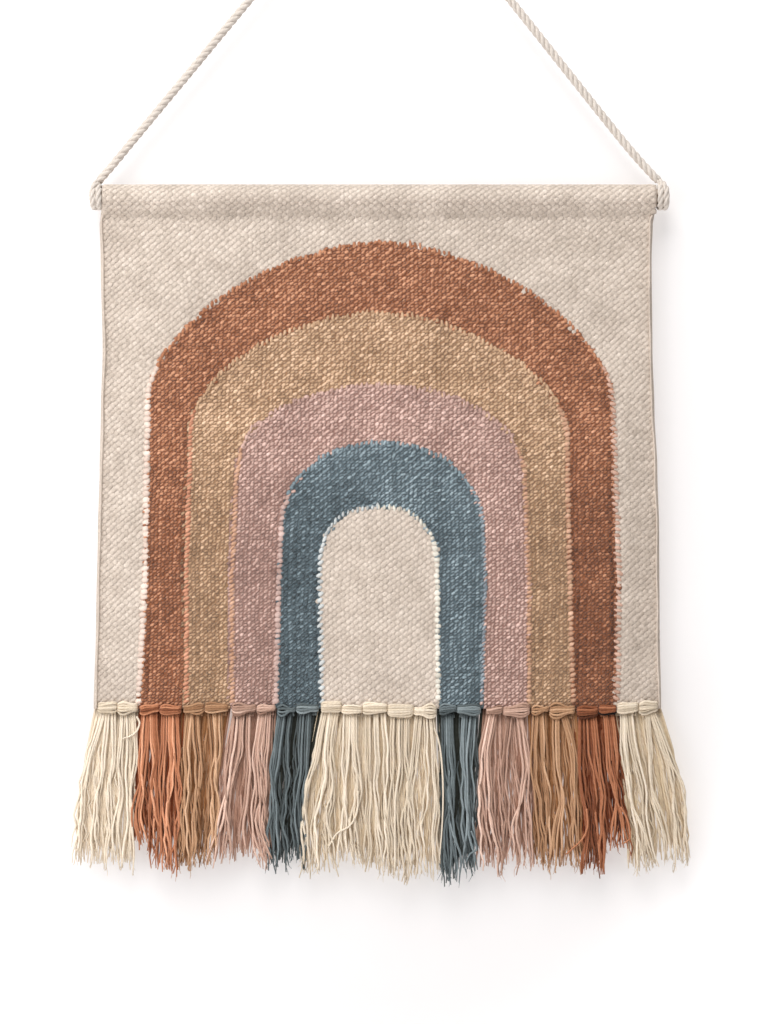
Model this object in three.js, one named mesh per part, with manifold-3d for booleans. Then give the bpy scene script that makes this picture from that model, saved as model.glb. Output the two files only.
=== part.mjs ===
// Textile wall hanging: a woven panel with a rod sleeve, a round wooden rod, a hanging cord
// hitched round both ends of the rod, and a row of tassels looped over the bottom edge.
// Millimetres, +Z up. The front faces -Y and the rod runs along X.
// The origin is the inside of the cord's top bend, where the peg that holds it bears.
import * as THREE from "three";
import { mergeVertices } from "three/addons/utils/BufferGeometryUtils.js";
import Module from "manifold-3d";

const wasm = await Module();
wasm.setup();

// Driving sizes
const GAP = 0.3; // between pieces that touch on the real object
const CORD_DIAMETER = 6;
const CORD_SIDES = 10;
const CORD_STEPS = 56;
const ROD_DIAMETER = 12;
const ROD_AXIS_Z = -274;
const ROD_LEFT = -233.6;
const ROD_RIGHT = 229.6;
const ROD_EDGE = 1.2; // rounding of the rod's ends
const ROD_SIDES = 20;
const CLOTH = 3; // thickness of the woven cloth
const SLEEVE_EASE = 0.4; // room between the rod and the sleeve
const SEAM_DROP = 17; // from the rod's axis to the seam that closes the sleeve
const TURNED_HEM = 6.5; // cloth left below that seam at the back
const HEM_Z = -683.5; // the panel's bottom edge
const PANEL_ROWS = 11;
const PANEL_COLUMNS = 19;
const HITCH_THICKNESS = 4.8; // the cord flattens where it is wound round the rod
const HITCH_LEFT = { from: -233.1, to: -223.9 };
const HITCH_RIGHT = { from: 220, to: 229.1 };
const HEAD_EASE = 0.4; // between the cloth and the loop of yarn over it
const HEAD_PROUD = 3.1; // how far a tassel's head stands off the cloth, front and back
const LOCK_RADIUS = 1.3;
const LOCK_PITCH = 2.05; // one lock of yarn for each such step of a tassel's mean width
const LOCK_SIDES = 3;
const LOCK_STEPS = 4;
const LOCK_ROOT = 1.6; // how far a lock reaches up into its head
const LOCK_MARGIN = 1.6; // from the ends of a head, or of its span of tips, to the first lock
const LANE = 1.7; // the locks hang in two lanes, this far before and behind the cloth's middle
const LANE_SPREAD = 1.7; // the lanes part by this factor towards the tips
const FAN_POWER = 1.5; // over 1, the locks spread more near the head than near the tips
const RIPPLE = 1.5; // how far the yarn wanders from a straight fall

// The panel's side edges: the height, and how far left and right of the peg the cloth ends there
const EDGES = [
  { z: -262, left: -223.3, right: 219.2 },
  { z: -286, left: -223.4, right: 219 },
  { z: -294, left: -225.6, right: 216.4 },
  { z: -325, left: -224.8, right: 215.4 },
  { z: -397, left: -223.4, right: 216.0 },
  { z: -445, left: -224.8, right: 217.6 },
  { z: -493, left: -225.8, right: 220.0 },
  { z: -541, left: -227.2, right: 221.4 },
  { z: -613, left: -228.6, right: 221.8 },
  { z: -684, left: -230.4, right: 223.0 },
];

// Soft waves of the cloth across its width: size, length, where they start, and how they lean
const WAVES = [
  { size: 1.5, length: 168, start: 40, lean: 0.05 },
  { size: 0.7, length: 94, start: 12, lean: -0.16 },
];

// The cord's route from the left hitch over the peg to the right hitch, in the plane of the rod
const CORD_ROUTE = [
  [-226.4, -261.5],
  [-213.1, -246],
  [-199.9, -230],
  [-175, -200],
  [-150.1, -170],
  [-125.3, -140],
  [-100.4, -110],
  [-75.5, -80],
  [-50.7, -50],
  [-25.8, -20],
  [-11.5, -2.4],
  [-6.3, 1.6],
  [0, 3],
  [6.3, 1.6],
  [11.6, -2.6],
  [25.9, -20],
  [49.7, -50],
  [73.5, -80],
  [97.3, -110],
  [121.2, -140],
  [145, -170],
  [168.8, -200],
  [192.9, -230],
  [206.6, -246],
  [220.9, -261.4],
];

// The tassels from left to right: the yarn, the head's ends, how far the head stands over and
// hangs under the panel's edge, the span of the yarn at its tips, and its least and greatest length
const TASSEL_COLUMNS = ["yarn", "left", "right", "over", "under", "tipLeft", "tipRight", "short", "long"];
const TASSELS = [
  ["cream", -226.6, -212, 6.6, 4.2, -247, -222.6, 116, 124],
  ["cream", -211, -195.6, 6, 4.4, -222.4, -199.4, 116, 124],
  ["rust", -193, -178.4, 4, 4.7, -199, -185.6, 100, 105],
  ["rust", -177.2, -160.8, 4, 4.7, -185.4, -164.2, 120, 127],
  ["ochre", -158, -142.4, 5, 4.2, -164, -150.6, 117, 124],
  ["ochre", -141.2, -123.2, 5, 3.9, -150.4, -134.6, 113, 119],
  ["pink", -119.2, -101, 5.9, 4.5, -134.4, -111.4, 113, 120],
  ["pink", -99.8, -85.6, 3.5, 3.9, -111.2, -89.2, 112, 121],
  ["blue", -83.2, -69.6, 3, 4.5, -89, -76.8, 118, 125],
  ["blue", -68, -51.4, 4.5, 3.9, -76.6, -64.6, 113, 121],
  ["cream", -48.2, -32.8, 6.7, 4.2, -64.4, -43.8, 114, 130],
  ["cream", -31.8, -16.2, 3.5, 4.5, -43.6, -20.4, 113, 121],
  ["cream", -15, 3.8, 5.1, 5.3, -20.2, -4.8, 116, 126],
  ["cream", 5, 24.8, 5.1, 6.8, -4.6, 18.2, 119, 129],
  ["cream", 26, 43.2, 3.5, 7, 18.4, 47.6, 120, 131],
  ["blue", 46.2, 59, 3, 5.6, 47.8, 60, 126, 136],
  ["blue", 60.2, 78.4, 3.9, 5.3, 60.2, 74.4, 118, 126],
  ["pink", 83.8, 95.8, 3, 4.2, 74.8, 96.8, 118, 126],
  ["pink", 97, 117.6, 4.3, 6.6, 97, 121.6, 116, 123],
  ["ochre", 120, 132.8, 3, 4.2, 121.8, 135.2, 116, 125],
  ["ochre", 134.4, 153.6, 4.5, 6.6, 135.4, 160, 116, 123],
  ["rust", 156, 172.2, 3.5, 6.8, 160.2, 176.8, 120, 127],
  ["rust", 173.6, 186.4, 4.6, 4.7, 177, 196.8, 101, 109],
  ["cream", 188, 204.2, 5.9, 4.2, 197, 219.2, 116, 126],
  ["cream", 205.6, 219.8, 6.8, 4.2, 219.4, 247, 111, 120],
].map((row) => Object.fromEntries(TASSEL_COLUMNS.map((name, i) => [name, row[i]])));

const COLOURS = {
  cloth: 0xe0d2be,
  wood: 0xc9a67c,
  cord: 0xe6dccb,
  cream: 0xe4d8be,
  rust: 0xb26c4e,
  ochre: 0xc4a07a,
  pink: 0xcea596,
  blue: 0x5a707a,
};

const ROD_RADIUS = ROD_DIAMETER / 2;
const SLEEVE_INNER = ROD_RADIUS + SLEEVE_EASE;
const SLEEVE_OUTER = SLEEVE_INNER + CLOTH;
const SEAM_Z = ROD_AXIS_Z - SEAM_DROP;
const CLOTH_MIDDLE = -CLOTH / 2; // the hanging cloth lies just before the plane of the rod's axis

const lerp = THREE.MathUtils.lerp;
const smooth = THREE.MathUtils.smoothstep;

// A repeatable scatter between 0 and 1
function scatter(n) {
  const s = Math.sin(n * 12.9898 + 4.1) * 43758.5453;
  return s - Math.floor(s);
}

// The panel's side edges at a height
function edgesAt(z) {
  const below = EDGES.findIndex((row) => row.z <= z);
  if (below <= 0) return below === 0 ? EDGES[0] : EDGES.at(-1);
  const a = EDGES[below - 1];
  const b = EDGES[below];
  const t = smooth((a.z - z) / (a.z - b.z), 0, 1);
  return { left: lerp(a.left, b.left, t), right: lerp(a.right, b.right, t) };
}

// How far the cloth stands before (-) or behind (+) its flat plane
function sway(x, z) {
  const hangs = smooth(SEAM_Z - z, 4, 130);
  const wave = (w) => w.size * Math.sin((2 * Math.PI * (x - w.start + w.lean * z)) / w.length);
  return hangs * WAVES.reduce((sum, w) => sum + wave(w), 0);
}

// Moves each vertex of a geometry by a function
function mapped(geometry, place) {
  const p = geometry.getAttribute("position");
  for (let i = 0; i < p.count; i++) {
    const v = place(p.getX(i), p.getY(i), p.getZ(i));
    p.setXYZ(i, v[0], v[1], v[2]);
  }
  return geometry;
}

function solid(geometry) {
  const bare = geometry.clone();
  bare.deleteAttribute("normal");
  bare.deleteAttribute("uv");
  const merged = mergeVertices(bare, 1e-3);
  const vertProperties = new Float32Array(merged.getAttribute("position").array);
  const triVerts = new Uint32Array(merged.index.array);
  return new wasm.Manifold(new wasm.Mesh({ numProp: 3, vertProperties, triVerts }));
}

function geometryOf(manifold) {
  const mesh = manifold.getMesh();
  const geometry = new THREE.BufferGeometry();
  geometry.setAttribute("position", new THREE.BufferAttribute(new Float32Array(mesh.vertProperties), 3));
  geometry.setIndex(new THREE.BufferAttribute(new Uint32Array(mesh.triVerts), 1));
  geometry.computeVertexNormals();
  return geometry;
}

function piece(name, geometry, colour, roughness) {
  const material = new THREE.MeshStandardMaterial({ color: COLOURS[colour], roughness, metalness: 0 });
  const mesh = new THREE.Mesh(geometry, material);
  mesh.name = name;
  return mesh;
}

// The panel: its section in the plane of Y and Z, drawn out along X and laid on the edges and waves
function wovenPanel() {
  const toSeam = Math.hypot(CLOTH, SEAM_DROP);
  const lean = Math.atan2(SEAM_DROP, CLOTH) + Math.acos(SLEEVE_OUTER / toSeam) - Math.PI / 2;
  const turn = Math.PI / 2 + lean; // from the top of the sleeve round to where it leaves the rod
  const front = -CLOTH;
  const round = 0.8; // the cut edges are a little rounded
  const section = new THREE.Shape();
  section.moveTo(front, HEM_Z + round);
  for (let row = 1; row <= PANEL_ROWS; row++) {
    section.lineTo(front, lerp(HEM_Z, SEAM_Z, row / PANEL_ROWS));
  }
  const leaves = { y: SLEEVE_OUTER * Math.sin(turn), z: ROD_AXIS_Z + SLEEVE_OUTER * Math.cos(turn) };
  const flank = (t) => [lerp(CLOTH, leaves.y, t), lerp(SEAM_Z, leaves.z, t)];
  for (const t of [1 / 3, 2 / 3]) section.lineTo(-flank(t)[0], flank(t)[1]);
  section.absarc(0, ROD_AXIS_Z, SLEEVE_OUTER, Math.PI / 2 + turn, Math.PI / 2 - turn, true);
  for (const t of [2 / 3, 1 / 3]) section.lineTo(...flank(t));
  section.lineTo(CLOTH, SEAM_Z);
  section.lineTo(CLOTH, SEAM_Z - TURNED_HEM + round);
  section.lineTo(CLOTH - round, SEAM_Z - TURNED_HEM);
  section.lineTo(0, SEAM_Z - TURNED_HEM);
  for (let row = PANEL_ROWS - 1; row >= 1; row--) {
    section.lineTo(0, lerp(HEM_Z, SEAM_Z, row / PANEL_ROWS));
  }
  section.lineTo(0, HEM_Z + round);
  section.lineTo(-round, HEM_Z);
  section.lineTo(front + round, HEM_Z);
  section.closePath();

  const tunnel = new THREE.Path();
  tunnel.absarc(0, ROD_AXIS_Z, SLEEVE_INNER, Math.PI / 2 - turn, Math.PI / 2 + turn, false);
  tunnel.lineTo(0, SEAM_Z + 0.6);
  tunnel.closePath();
  section.holes.push(tunnel);

  const drawn = new THREE.ExtrudeGeometry(section, {
    depth: 1,
    steps: PANEL_COLUMNS,
    curveSegments: 6,
    bevelEnabled: false,
  });
  const laid = mapped(drawn, (y, z, along) => {
    const edge = edgesAt(z);
    const x = lerp(edge.left, edge.right, along);
    return [x, y + sway(x, z), z];
  });
  return piece("woven_panel", laid, "cloth", 0.95);
}

function alongX(geometry) {
  return geometry.rotateZ(-Math.PI / 2);
}

function rod() {
  const profile = [
    new THREE.Vector2(0, ROD_LEFT),
    new THREE.Vector2(ROD_RADIUS - ROD_EDGE, ROD_LEFT),
    new THREE.Vector2(ROD_RADIUS, ROD_LEFT + ROD_EDGE),
    new THREE.Vector2(ROD_RADIUS, ROD_RIGHT - ROD_EDGE),
    new THREE.Vector2(ROD_RADIUS - ROD_EDGE, ROD_RIGHT),
    new THREE.Vector2(0, ROD_RIGHT),
  ];
  const turned = alongX(new THREE.LatheGeometry(profile, ROD_SIDES));
  return piece("rod", turned.translate(0, 0, ROD_AXIS_Z), "wood", 0.6);
}

const cordCurve = new THREE.CatmullRomCurve3(
  CORD_ROUTE.map(([x, z]) => new THREE.Vector3(x, 0, z)),
  false,
  "centripetal",
);

function roundSection(diameter, sides) {
  const points = [];
  for (let i = 0; i < sides; i++) {
    const a = (2 * Math.PI * i) / sides;
    points.push(new THREE.Vector2((diameter / 2) * Math.cos(a), (diameter / 2) * Math.sin(a)));
  }
  return new THREE.Shape(points);
}

function hangingCord() {
  const drawn = new THREE.ExtrudeGeometry(roundSection(CORD_DIAMETER, CORD_SIDES), {
    steps: CORD_STEPS,
    extrudePath: cordCurve,
  });
  return piece("hanging_cord", drawn, "cord", 0.9);
}

// One and a half turns of the cord round the rod's end, and the short stub that leads up to the leg
function hitch(name, span, legEnd) {
  const inner = ROD_RADIUS + GAP;
  const outer = inner + HITCH_THICKNESS;
  const width = span.to - span.from;
  const turns = [
    { rise: 0, along: 0.1 },
    { rise: 0, along: 0.9 },
    { rise: 0.35, along: 1 },
    { rise: 0.75, along: 0.98 },
    { rise: 1, along: 0.78 },
    { rise: 0.97, along: 0.66 },
    { rise: 0.8, along: 0.54 },
    { rise: 0.93, along: 0.4 },
    { rise: 0.95, along: 0.22 },
    { rise: 0.72, along: 0.02 },
    { rise: 0.35, along: 0 },
  ];
  const across = (p) => new THREE.Vector2(lerp(inner, outer, p.rise), span.from + width * p.along);
  const profile = turns.map(across);
  profile.push(across(turns[0]));
  const ring = alongX(new THREE.LatheGeometry(profile.reverse(), ROD_SIDES)).translate(0, 0, ROD_AXIS_Z);

  const end = cordCurve.getPoint(legEnd);
  const away = cordCurve.getTangent(legEnd).multiplyScalar(legEnd ? 1 : -1);
  const start = end.clone().addScaledVector(away, GAP);
  const reach = (start.z - (ROD_AXIS_Z + inner + HITCH_THICKNESS / 2)) / -away.z;
  const stub = new THREE.CylinderGeometry(CORD_DIAMETER / 2, CORD_DIAMETER / 2, reach, CORD_SIDES);
  stub.applyQuaternion(new THREE.Quaternion().setFromUnitVectors(new THREE.Vector3(0, 1, 0), away));
  stub.translate(start.x + (away.x * reach) / 2, 0, start.z + (away.z * reach) / 2);
  return piece(name, geometryOf(solid(ring).add(solid(stub))), "cord", 0.9);
}

// A tassel's head: yarn looped over the panel's edge, as a saddle with a slot for the cloth
function headSolid(row) {
  const slot = CLOTH / 2 + HEAD_EASE;
  const proud = CLOTH / 2 + HEAD_PROUD;
  const top = row.over;
  const foot = -row.under;
  const shape = new THREE.Shape();
  shape.moveTo(-slot, -HEAD_EASE);
  shape.lineTo(-slot, top);
  shape.lineTo(-proud + 0.7, top);
  shape.lineTo(-proud, top - 1.6);
  shape.lineTo(-proud, foot + 1.8);
  shape.lineTo(-proud + 1.5, foot);
  shape.lineTo(proud - 1.5, foot);
  shape.lineTo(proud, foot + 1.8);
  shape.lineTo(proud, top - 1.6);
  shape.lineTo(proud - 0.7, top);
  shape.lineTo(slot, top);
  shape.lineTo(slot, -HEAD_EASE);
  shape.closePath();
  const drawn = new THREE.ExtrudeGeometry(shape, { depth: 1, steps: 4, bevelEnabled: false });
  return solid(
    mapped(drawn, (y, up, along) => {
      const x = lerp(row.left, row.right, along);
      const plump = Math.pow(1 - Math.pow(Math.abs(2 * along - 1), 3), 0.5);
      const outer = Math.max(0, Math.abs(y) - slot);
      const depth = Math.sign(y) * (Math.min(Math.abs(y), slot) + outer * lerp(0.6, 1, plump));
      const height = up > 0 ? up * lerp(0.72, 1, plump) : up;
      return [x, CLOTH_MIDDLE + depth + sway(x, HEM_Z), HEM_Z + height];
    }),
  );
}

// One lock of yarn, from inside the head down to its tip
function lockSolid(row, number, share, lane) {
  const rootX = lerp(row.left + LOCK_MARGIN, row.right - LOCK_MARGIN, share);
  const tipX = lerp(row.tipLeft + LOCK_MARGIN, row.tipRight - LOCK_MARGIN, share);
  const length = lerp(row.short, row.long, scatter(number));
  const footZ = HEM_Z - row.under;
  const rootY = CLOTH_MIDDLE + sway(rootX, HEM_Z);
  const drawn = new THREE.CylinderGeometry(1, 1, 1, LOCK_SIDES, LOCK_STEPS);
  return solid(
    mapped(drawn, (across, up, deep) => {
      const t = 0.5 - up;
      const z = lerp(footZ + LOCK_ROOT, footZ - length, t);
      const fanned = lerp(rootX, tipX, 1 - Math.pow(1 - t, FAN_POWER));
      const x = fanned + RIPPLE * smooth(t, 0.1, 0.5) * Math.sin(z / 13 + fanned / 19);
      const apart = lane * LANE * lerp(1, LANE_SPREAD, t);
      const y = rootY + apart + RIPPLE * 0.5 * t * Math.sin(z / 23 + x / 31);
      const taper = lerp(1, 0.5, smooth(t, 0.7, 1)) * (1 + 0.15 * Math.sin(Math.PI * t));
      const radius = LOCK_RADIUS * taper;
      return [x + radius * across, y - radius * deep, z];
    }),
  );
}

function tassel(row, index) {
  const meanWidth = (row.right - row.left + row.tipRight - row.tipLeft) / 2;
  const locks = Math.round(meanWidth / LOCK_PITCH);
  let whole = headSolid(row);
  for (let i = 0; i < locks; i++) {
    const lane = i % 2 ? 1 : -1;
    whole = whole.add(lockSolid(row, index * 20 + i, i / (locks - 1), lane));
  }
  const name = "tassel_" + String(index + 1).padStart(2, "0");
  return piece(name, geometryOf(whole), row.yarn, 0.95);
}

const hanging = new THREE.Group();
hanging.add(wovenPanel(), rod(), hangingCord());
hanging.add(hitch("hitch_left", HITCH_LEFT, 0), hitch("hitch_right", HITCH_RIGHT, 1));
TASSELS.forEach((row, index) => hanging.add(tassel(row, index)));

export default hanging;
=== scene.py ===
"""Looks of a textile wall hanging: a woven panel with nested arches, its rod, cord and tassels."""

import math

import bpy
import numpy as np
from bpy.props import FloatProperty, FloatVectorProperty, IntProperty, PointerProperty
from bpy.types import Operator, Panel, PropertyGroup
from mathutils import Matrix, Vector


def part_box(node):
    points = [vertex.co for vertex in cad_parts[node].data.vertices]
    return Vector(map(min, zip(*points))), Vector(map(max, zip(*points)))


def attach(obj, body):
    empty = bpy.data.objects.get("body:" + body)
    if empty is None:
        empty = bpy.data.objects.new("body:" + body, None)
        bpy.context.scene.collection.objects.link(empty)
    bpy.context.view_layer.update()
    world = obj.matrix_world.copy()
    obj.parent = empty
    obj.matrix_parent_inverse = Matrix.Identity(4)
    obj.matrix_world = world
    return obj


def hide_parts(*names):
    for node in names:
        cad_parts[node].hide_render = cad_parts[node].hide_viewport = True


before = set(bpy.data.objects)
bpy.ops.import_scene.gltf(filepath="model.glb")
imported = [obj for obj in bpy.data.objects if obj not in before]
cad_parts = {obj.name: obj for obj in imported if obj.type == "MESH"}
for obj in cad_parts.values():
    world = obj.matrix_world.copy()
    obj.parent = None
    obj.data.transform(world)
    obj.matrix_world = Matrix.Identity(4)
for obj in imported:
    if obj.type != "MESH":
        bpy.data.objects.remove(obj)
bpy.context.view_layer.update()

bl_info = {
    "name": "Textile Wall Hanging",
    "version": (1, 0, 0),
    "blender": (4, 5, 0),
    "location": "View3D > Sidebar > Wall Hanging",
    "description": "Builds the woven panel, joins, cord, rod and tassels of a wall hanging",
    "category": "Object",
}

# Sizes are in millimetres and go to metres when a mesh is made. The front faces -Y.
MM = 0.001
IMAGE_WIDTH, IMAGE_HEIGHT = 768, 1024
PIXEL = 0.8  # millimetres to one pixel of the picture
PEG_COLUMN, PEG_LINE = 382, -146  # where the peg would be in the picture
SEED = 11

ROD_AXIS_Z = -274.0
ROD_SIDES, ROD_EASING = 48, 1.2
SLEEVE_INNER, SLEEVE_OUTER = 6.4, 9.4  # radii of the cloth's two faces over the rod
SLEEVE_STEPS = 19
CLOTH = 3.0  # thickness
SEAM_Z = -291.0  # where the sleeve is sewn down
TURNED_HEM = 6.5  # cloth below the seam at the back
HEM_Z = -683.5  # the panel's foot
CLOTH_ROWS = 79
SLOPE_STEP = 0.8  # to each side of a point, to take the cloth's slope there
END_CLEAR = 0.8  # what the back's end and the rolled edges keep clear of the fold
FOLD_GAP = 0.05  # between the panel's back and the cloth turned down on it

# The panel's side edges: height, left, right
EDGES = np.array([
    (-262, -223.3, 219.2),
    (-286, -223.4, 219),
    (-294, -225.6, 216.4),
    (-325, -224.8, 215.4),
    (-397, -223.4, 216.0),
    (-445, -224.8, 217.6),
    (-493, -225.8, 220.0),
    (-541, -227.2, 221.4),
    (-613, -228.6, 221.8),
    (-684, -230.4, 223.0),
])

# Soft waves of the cloth: size, length, start, lean
WAVES = ((1.5, 168, 40, 0.05), (0.7, 94, 12, -0.16))
SWAY_STARTS, SWAY_WHOLE = 4, 130  # below the seam

# The cord's route from the left hitch over the peg to the right hitch: x, z
CORD_ROUTE = np.array([
    (-226.4, -261.5), (-213.1, -246), (-199.9, -230), (-175, -200), (-150.1, -170),
    (-125.3, -140), (-100.4, -110), (-75.5, -80), (-50.7, -50), (-25.8, -20),
    (-11.5, -2.4), (-6.3, 1.6), (0, 3), (6.3, 1.6), (11.6, -2.6),
    (25.9, -20), (49.7, -50), (73.5, -80), (97.3, -110), (121.2, -140),
    (145, -170), (168.8, -200), (192.9, -230), (206.6, -246), (220.9, -261.4),
])
CORD_STEP, CORD_SMOOTH = 1.3, 24  # between the line's points, and points made from one of the route's
STRAND_SWELL, ROPE_SIDES = 1.22, 8  # the strands press into each other

# The hitches: turns round the rod, the line's radius, the rope's own diameter, where the outer and the
# inner turn lie on the rod, and in degrees from the rod's top where the turns begin, their points' step,
# and where the rope crosses from the outer turn to the inner one
HITCH_TURNS, HITCH_RADIUS, HITCH_ROPE = 1.75, 8.65, 5.0
HITCH_TURNS_AT = {"left": (-230.6, -226.2), "right": (226.7, 222.3)}
HITCH_FROM, HITCH_EACH, HITCH_CROSSING = 58, 24, (120, 420)
HITCH_STEP, HITCH_SMOOTH = 1.1, 8

YARNS = ("cream", "rust", "ochre", "pink", "blue")

# The nested arches from outside in. Each is a superellipse on two legs: centre, half width, spring
# line, crown, power, the left and right legs at mid height and at the foot, and the tone of those
# legs beside the arch's top
ARCH_COLUMNS = (
    "centre", "half", "spring", "crown", "power", "left_mid", "left_foot", "right_mid", "right_foot",
    "left_tone", "right_tone",
)
ARCHES = [dict(zip(ARCH_COLUMNS, row)) for row in (
    (-1.6, 185.6, -436.8, -311.2, 1.7, -189.3, -194.4, 188.8, 187.2, -0.24, -0.42),
    (-4.0, 152.0, -464.8, -367.2, 1.75, -159.2, -159.2, 150.1, 152.8, -0.35, -0.33),
    (-2.4, 116.8, -500.8, -425.6, 2.1, -122.9, -122.4, 117.6, 117.6, -0.24, 0.04),
    (0.0, 80.8, -540.8, -471.2, 2.1, -82.4, -84.8, 82.4, 80.0, -0.6, -0.12),
    (-2.8, 46.8, -568.8, -522.4, 2.2, -49.6, -48.0, 44.0, 44.8, 0, 0),
)]
LEG_MID_Z, LEG_FOOT_Z = -581.6, -676.8
LEG_WEAVE_STARTS, LEG_WEAVE_WHOLE = -450, -560  # from here down the weave is tighter and more mixed

# The teeth where two yarns meet: their height, and their reach on the legs and on the tops
TOOTH, TOOTH_VARIES = 1.3, 0.5
TOOTH_ON_LEG, TOOTH_ON_TOP, TOOTH_AT_CROWN = 0.4, 1.7, 0.5
TOP_BEGINS = 0.6  # of the way from the spring line to the crown

# How each yarn lies in the weave: the grains' length, width and height, their turn, how uneven its
# tone is and how dark the painted shade in its furrows is
GRAIN_COLUMNS = ("length", "width", "height", "turn", "uneven", "furrow_shade")
GRAINS = {name: dict(zip(GRAIN_COLUMNS, row)) for name, row in (
    ("cream", (5.0, 4.3, 0.42, 37, 0.08, 0.0)),
    ("rust", (5.2, 2.9, 0.9, 36, 0.27, 0.5)),
    ("ochre", (5.2, 3.0, 0.8, 36, 0.24, 0.45)),
    ("pink", (5.2, 3.0, 0.8, 36, 0.22, 0.4)),
    ("blue", (5.8, 2.8, 0.9, 37, 0.27, 0.6)),
)}
KNOT_LENGTH, KNOT_WIDTH, KNOT_HEIGHT = 3.6, 1.8, 0.7  # a low grain between the ribs
TWIST, HEAD_TWIST = 5.0, 3.4  # length in which a yarn's plies go once round: elsewhere, and in a head

# The grains' rows and columns: the first row, the margins at the sleeve and below it, how much closer
# the columns are at the sides, and slow waves, each with its size, lengths across and up, and phase
FIRST_ROW = 0.3
MARGIN_SLEEVE, MARGIN = 2.4, 3.4
CROWDED = 0.05
ROW_WAVES = ((0.6, 41, 97, 0), (0.3, 15, math.inf, 2.1))
COLUMN_WAVES = ((0.7, 71, 23, 0), (0.35, -37, 9, 1.3))

# How uneven the dye is by column and by row, and its darkest and lightest
STREAK, COURSE = 0.4, 0.25
DYE_RANGE = (-1.5, 2)
# In the legs the grains are shorter and narrower by this share, their knots higher, and they turn more
LEG_TIGHTER, LEG_KNOTS, LEG_TURN = 0.12, 0.2, 2

# Painted shade on the weave: how much darker it is under the seam, beside the joins, and in the
# cream field by the right edge. Painted light makes it a little lighter over the sleeve
SEAM_PAINTED_SHADE, JOIN_PAINTED_SHADE, EDGE_PAINTED_SHADE, SLEEVE_PAINTED_LIGHT = 0.25, 0.38, 0.24, 0.14
# the width of the painted shade beside a join
JOIN_SHADE_WIDTH = 2.0
PAINTED_SHADE_EDGE_X, PAINTED_SHADE_EDGE_DOWN = (186, 200), (380, 520)

# The stitches that join each leg to the next: arch, side, yarn, step, length, width, slant, how far
# inside the arch's edge they lie, and how far outside it lies the painted shade beside the join
JOIN_COLUMNS = ("arch", "hand", "yarn", "step", "length", "width", "slant", "inward", "furrow_shade")
JOINS = [dict(zip(JOIN_COLUMNS, row)) for row in (
    (0, "left", "shell", 4.6, 6.4, 5.2, 18, 0, -4.8),
    (0, "right", "rose", 5.0, 7.2, 3.4, -20, 0, -5.4),
    (1, "left", "peach", 3.4, 6.0, 3.0, 30, 3.0, 0.2),
    (1, "right", "sand", 4.1, 5.8, 4.0, 26, 0, 4.2),
    (2, "left", "sand", 3.4, 5.6, 3.2, 34, 3.0, 0.2),
    (2, "right", "sand", 3.6, 5.0, 3.2, 20, 0, 4.0),
    (3, "left", "blush", 4.3, 5.6, 4.8, 20, 0, 4.0),
    (3, "right", "slate", 3.4, 4.8, 2.6, 42, 0, -4.0),
    (4, "left", "mist", 5.0, 6.0, 3.6, 34, 0, 4.4),
    (4, "right", "bone", 4.4, 5.0, 4.9, 8, 0, 4.0),
)]
JOIN_HEIGHT = 1.2
JOIN_RINGS = ((1.0, -0.2), (0.92, 0.4), (0.55, 0.86))  # a stitch's outline: half width, height
FIRST_JOIN = 6  # above the hem
LINE_STEP = 0.5
TOP_SLOPE = (0.15, 0.7)  # how level the edge is where the top's stitches begin, and where they are whole
TOP_STEP, TOP_LENGTH, TOP_WIDTH = 4.0, 4.9, 2.7  # the same stitches over the top of an arch
TOP_STEEPER = math.radians(34)  # on its shoulders they stand steeper than its edge
OVER_TOP = 0.55  # past this share the stitches are in the arch's own yarn
EDGE_RADIUS, EDGE_STEP = 1.9, 2.4  # the rolled side edges

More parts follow.
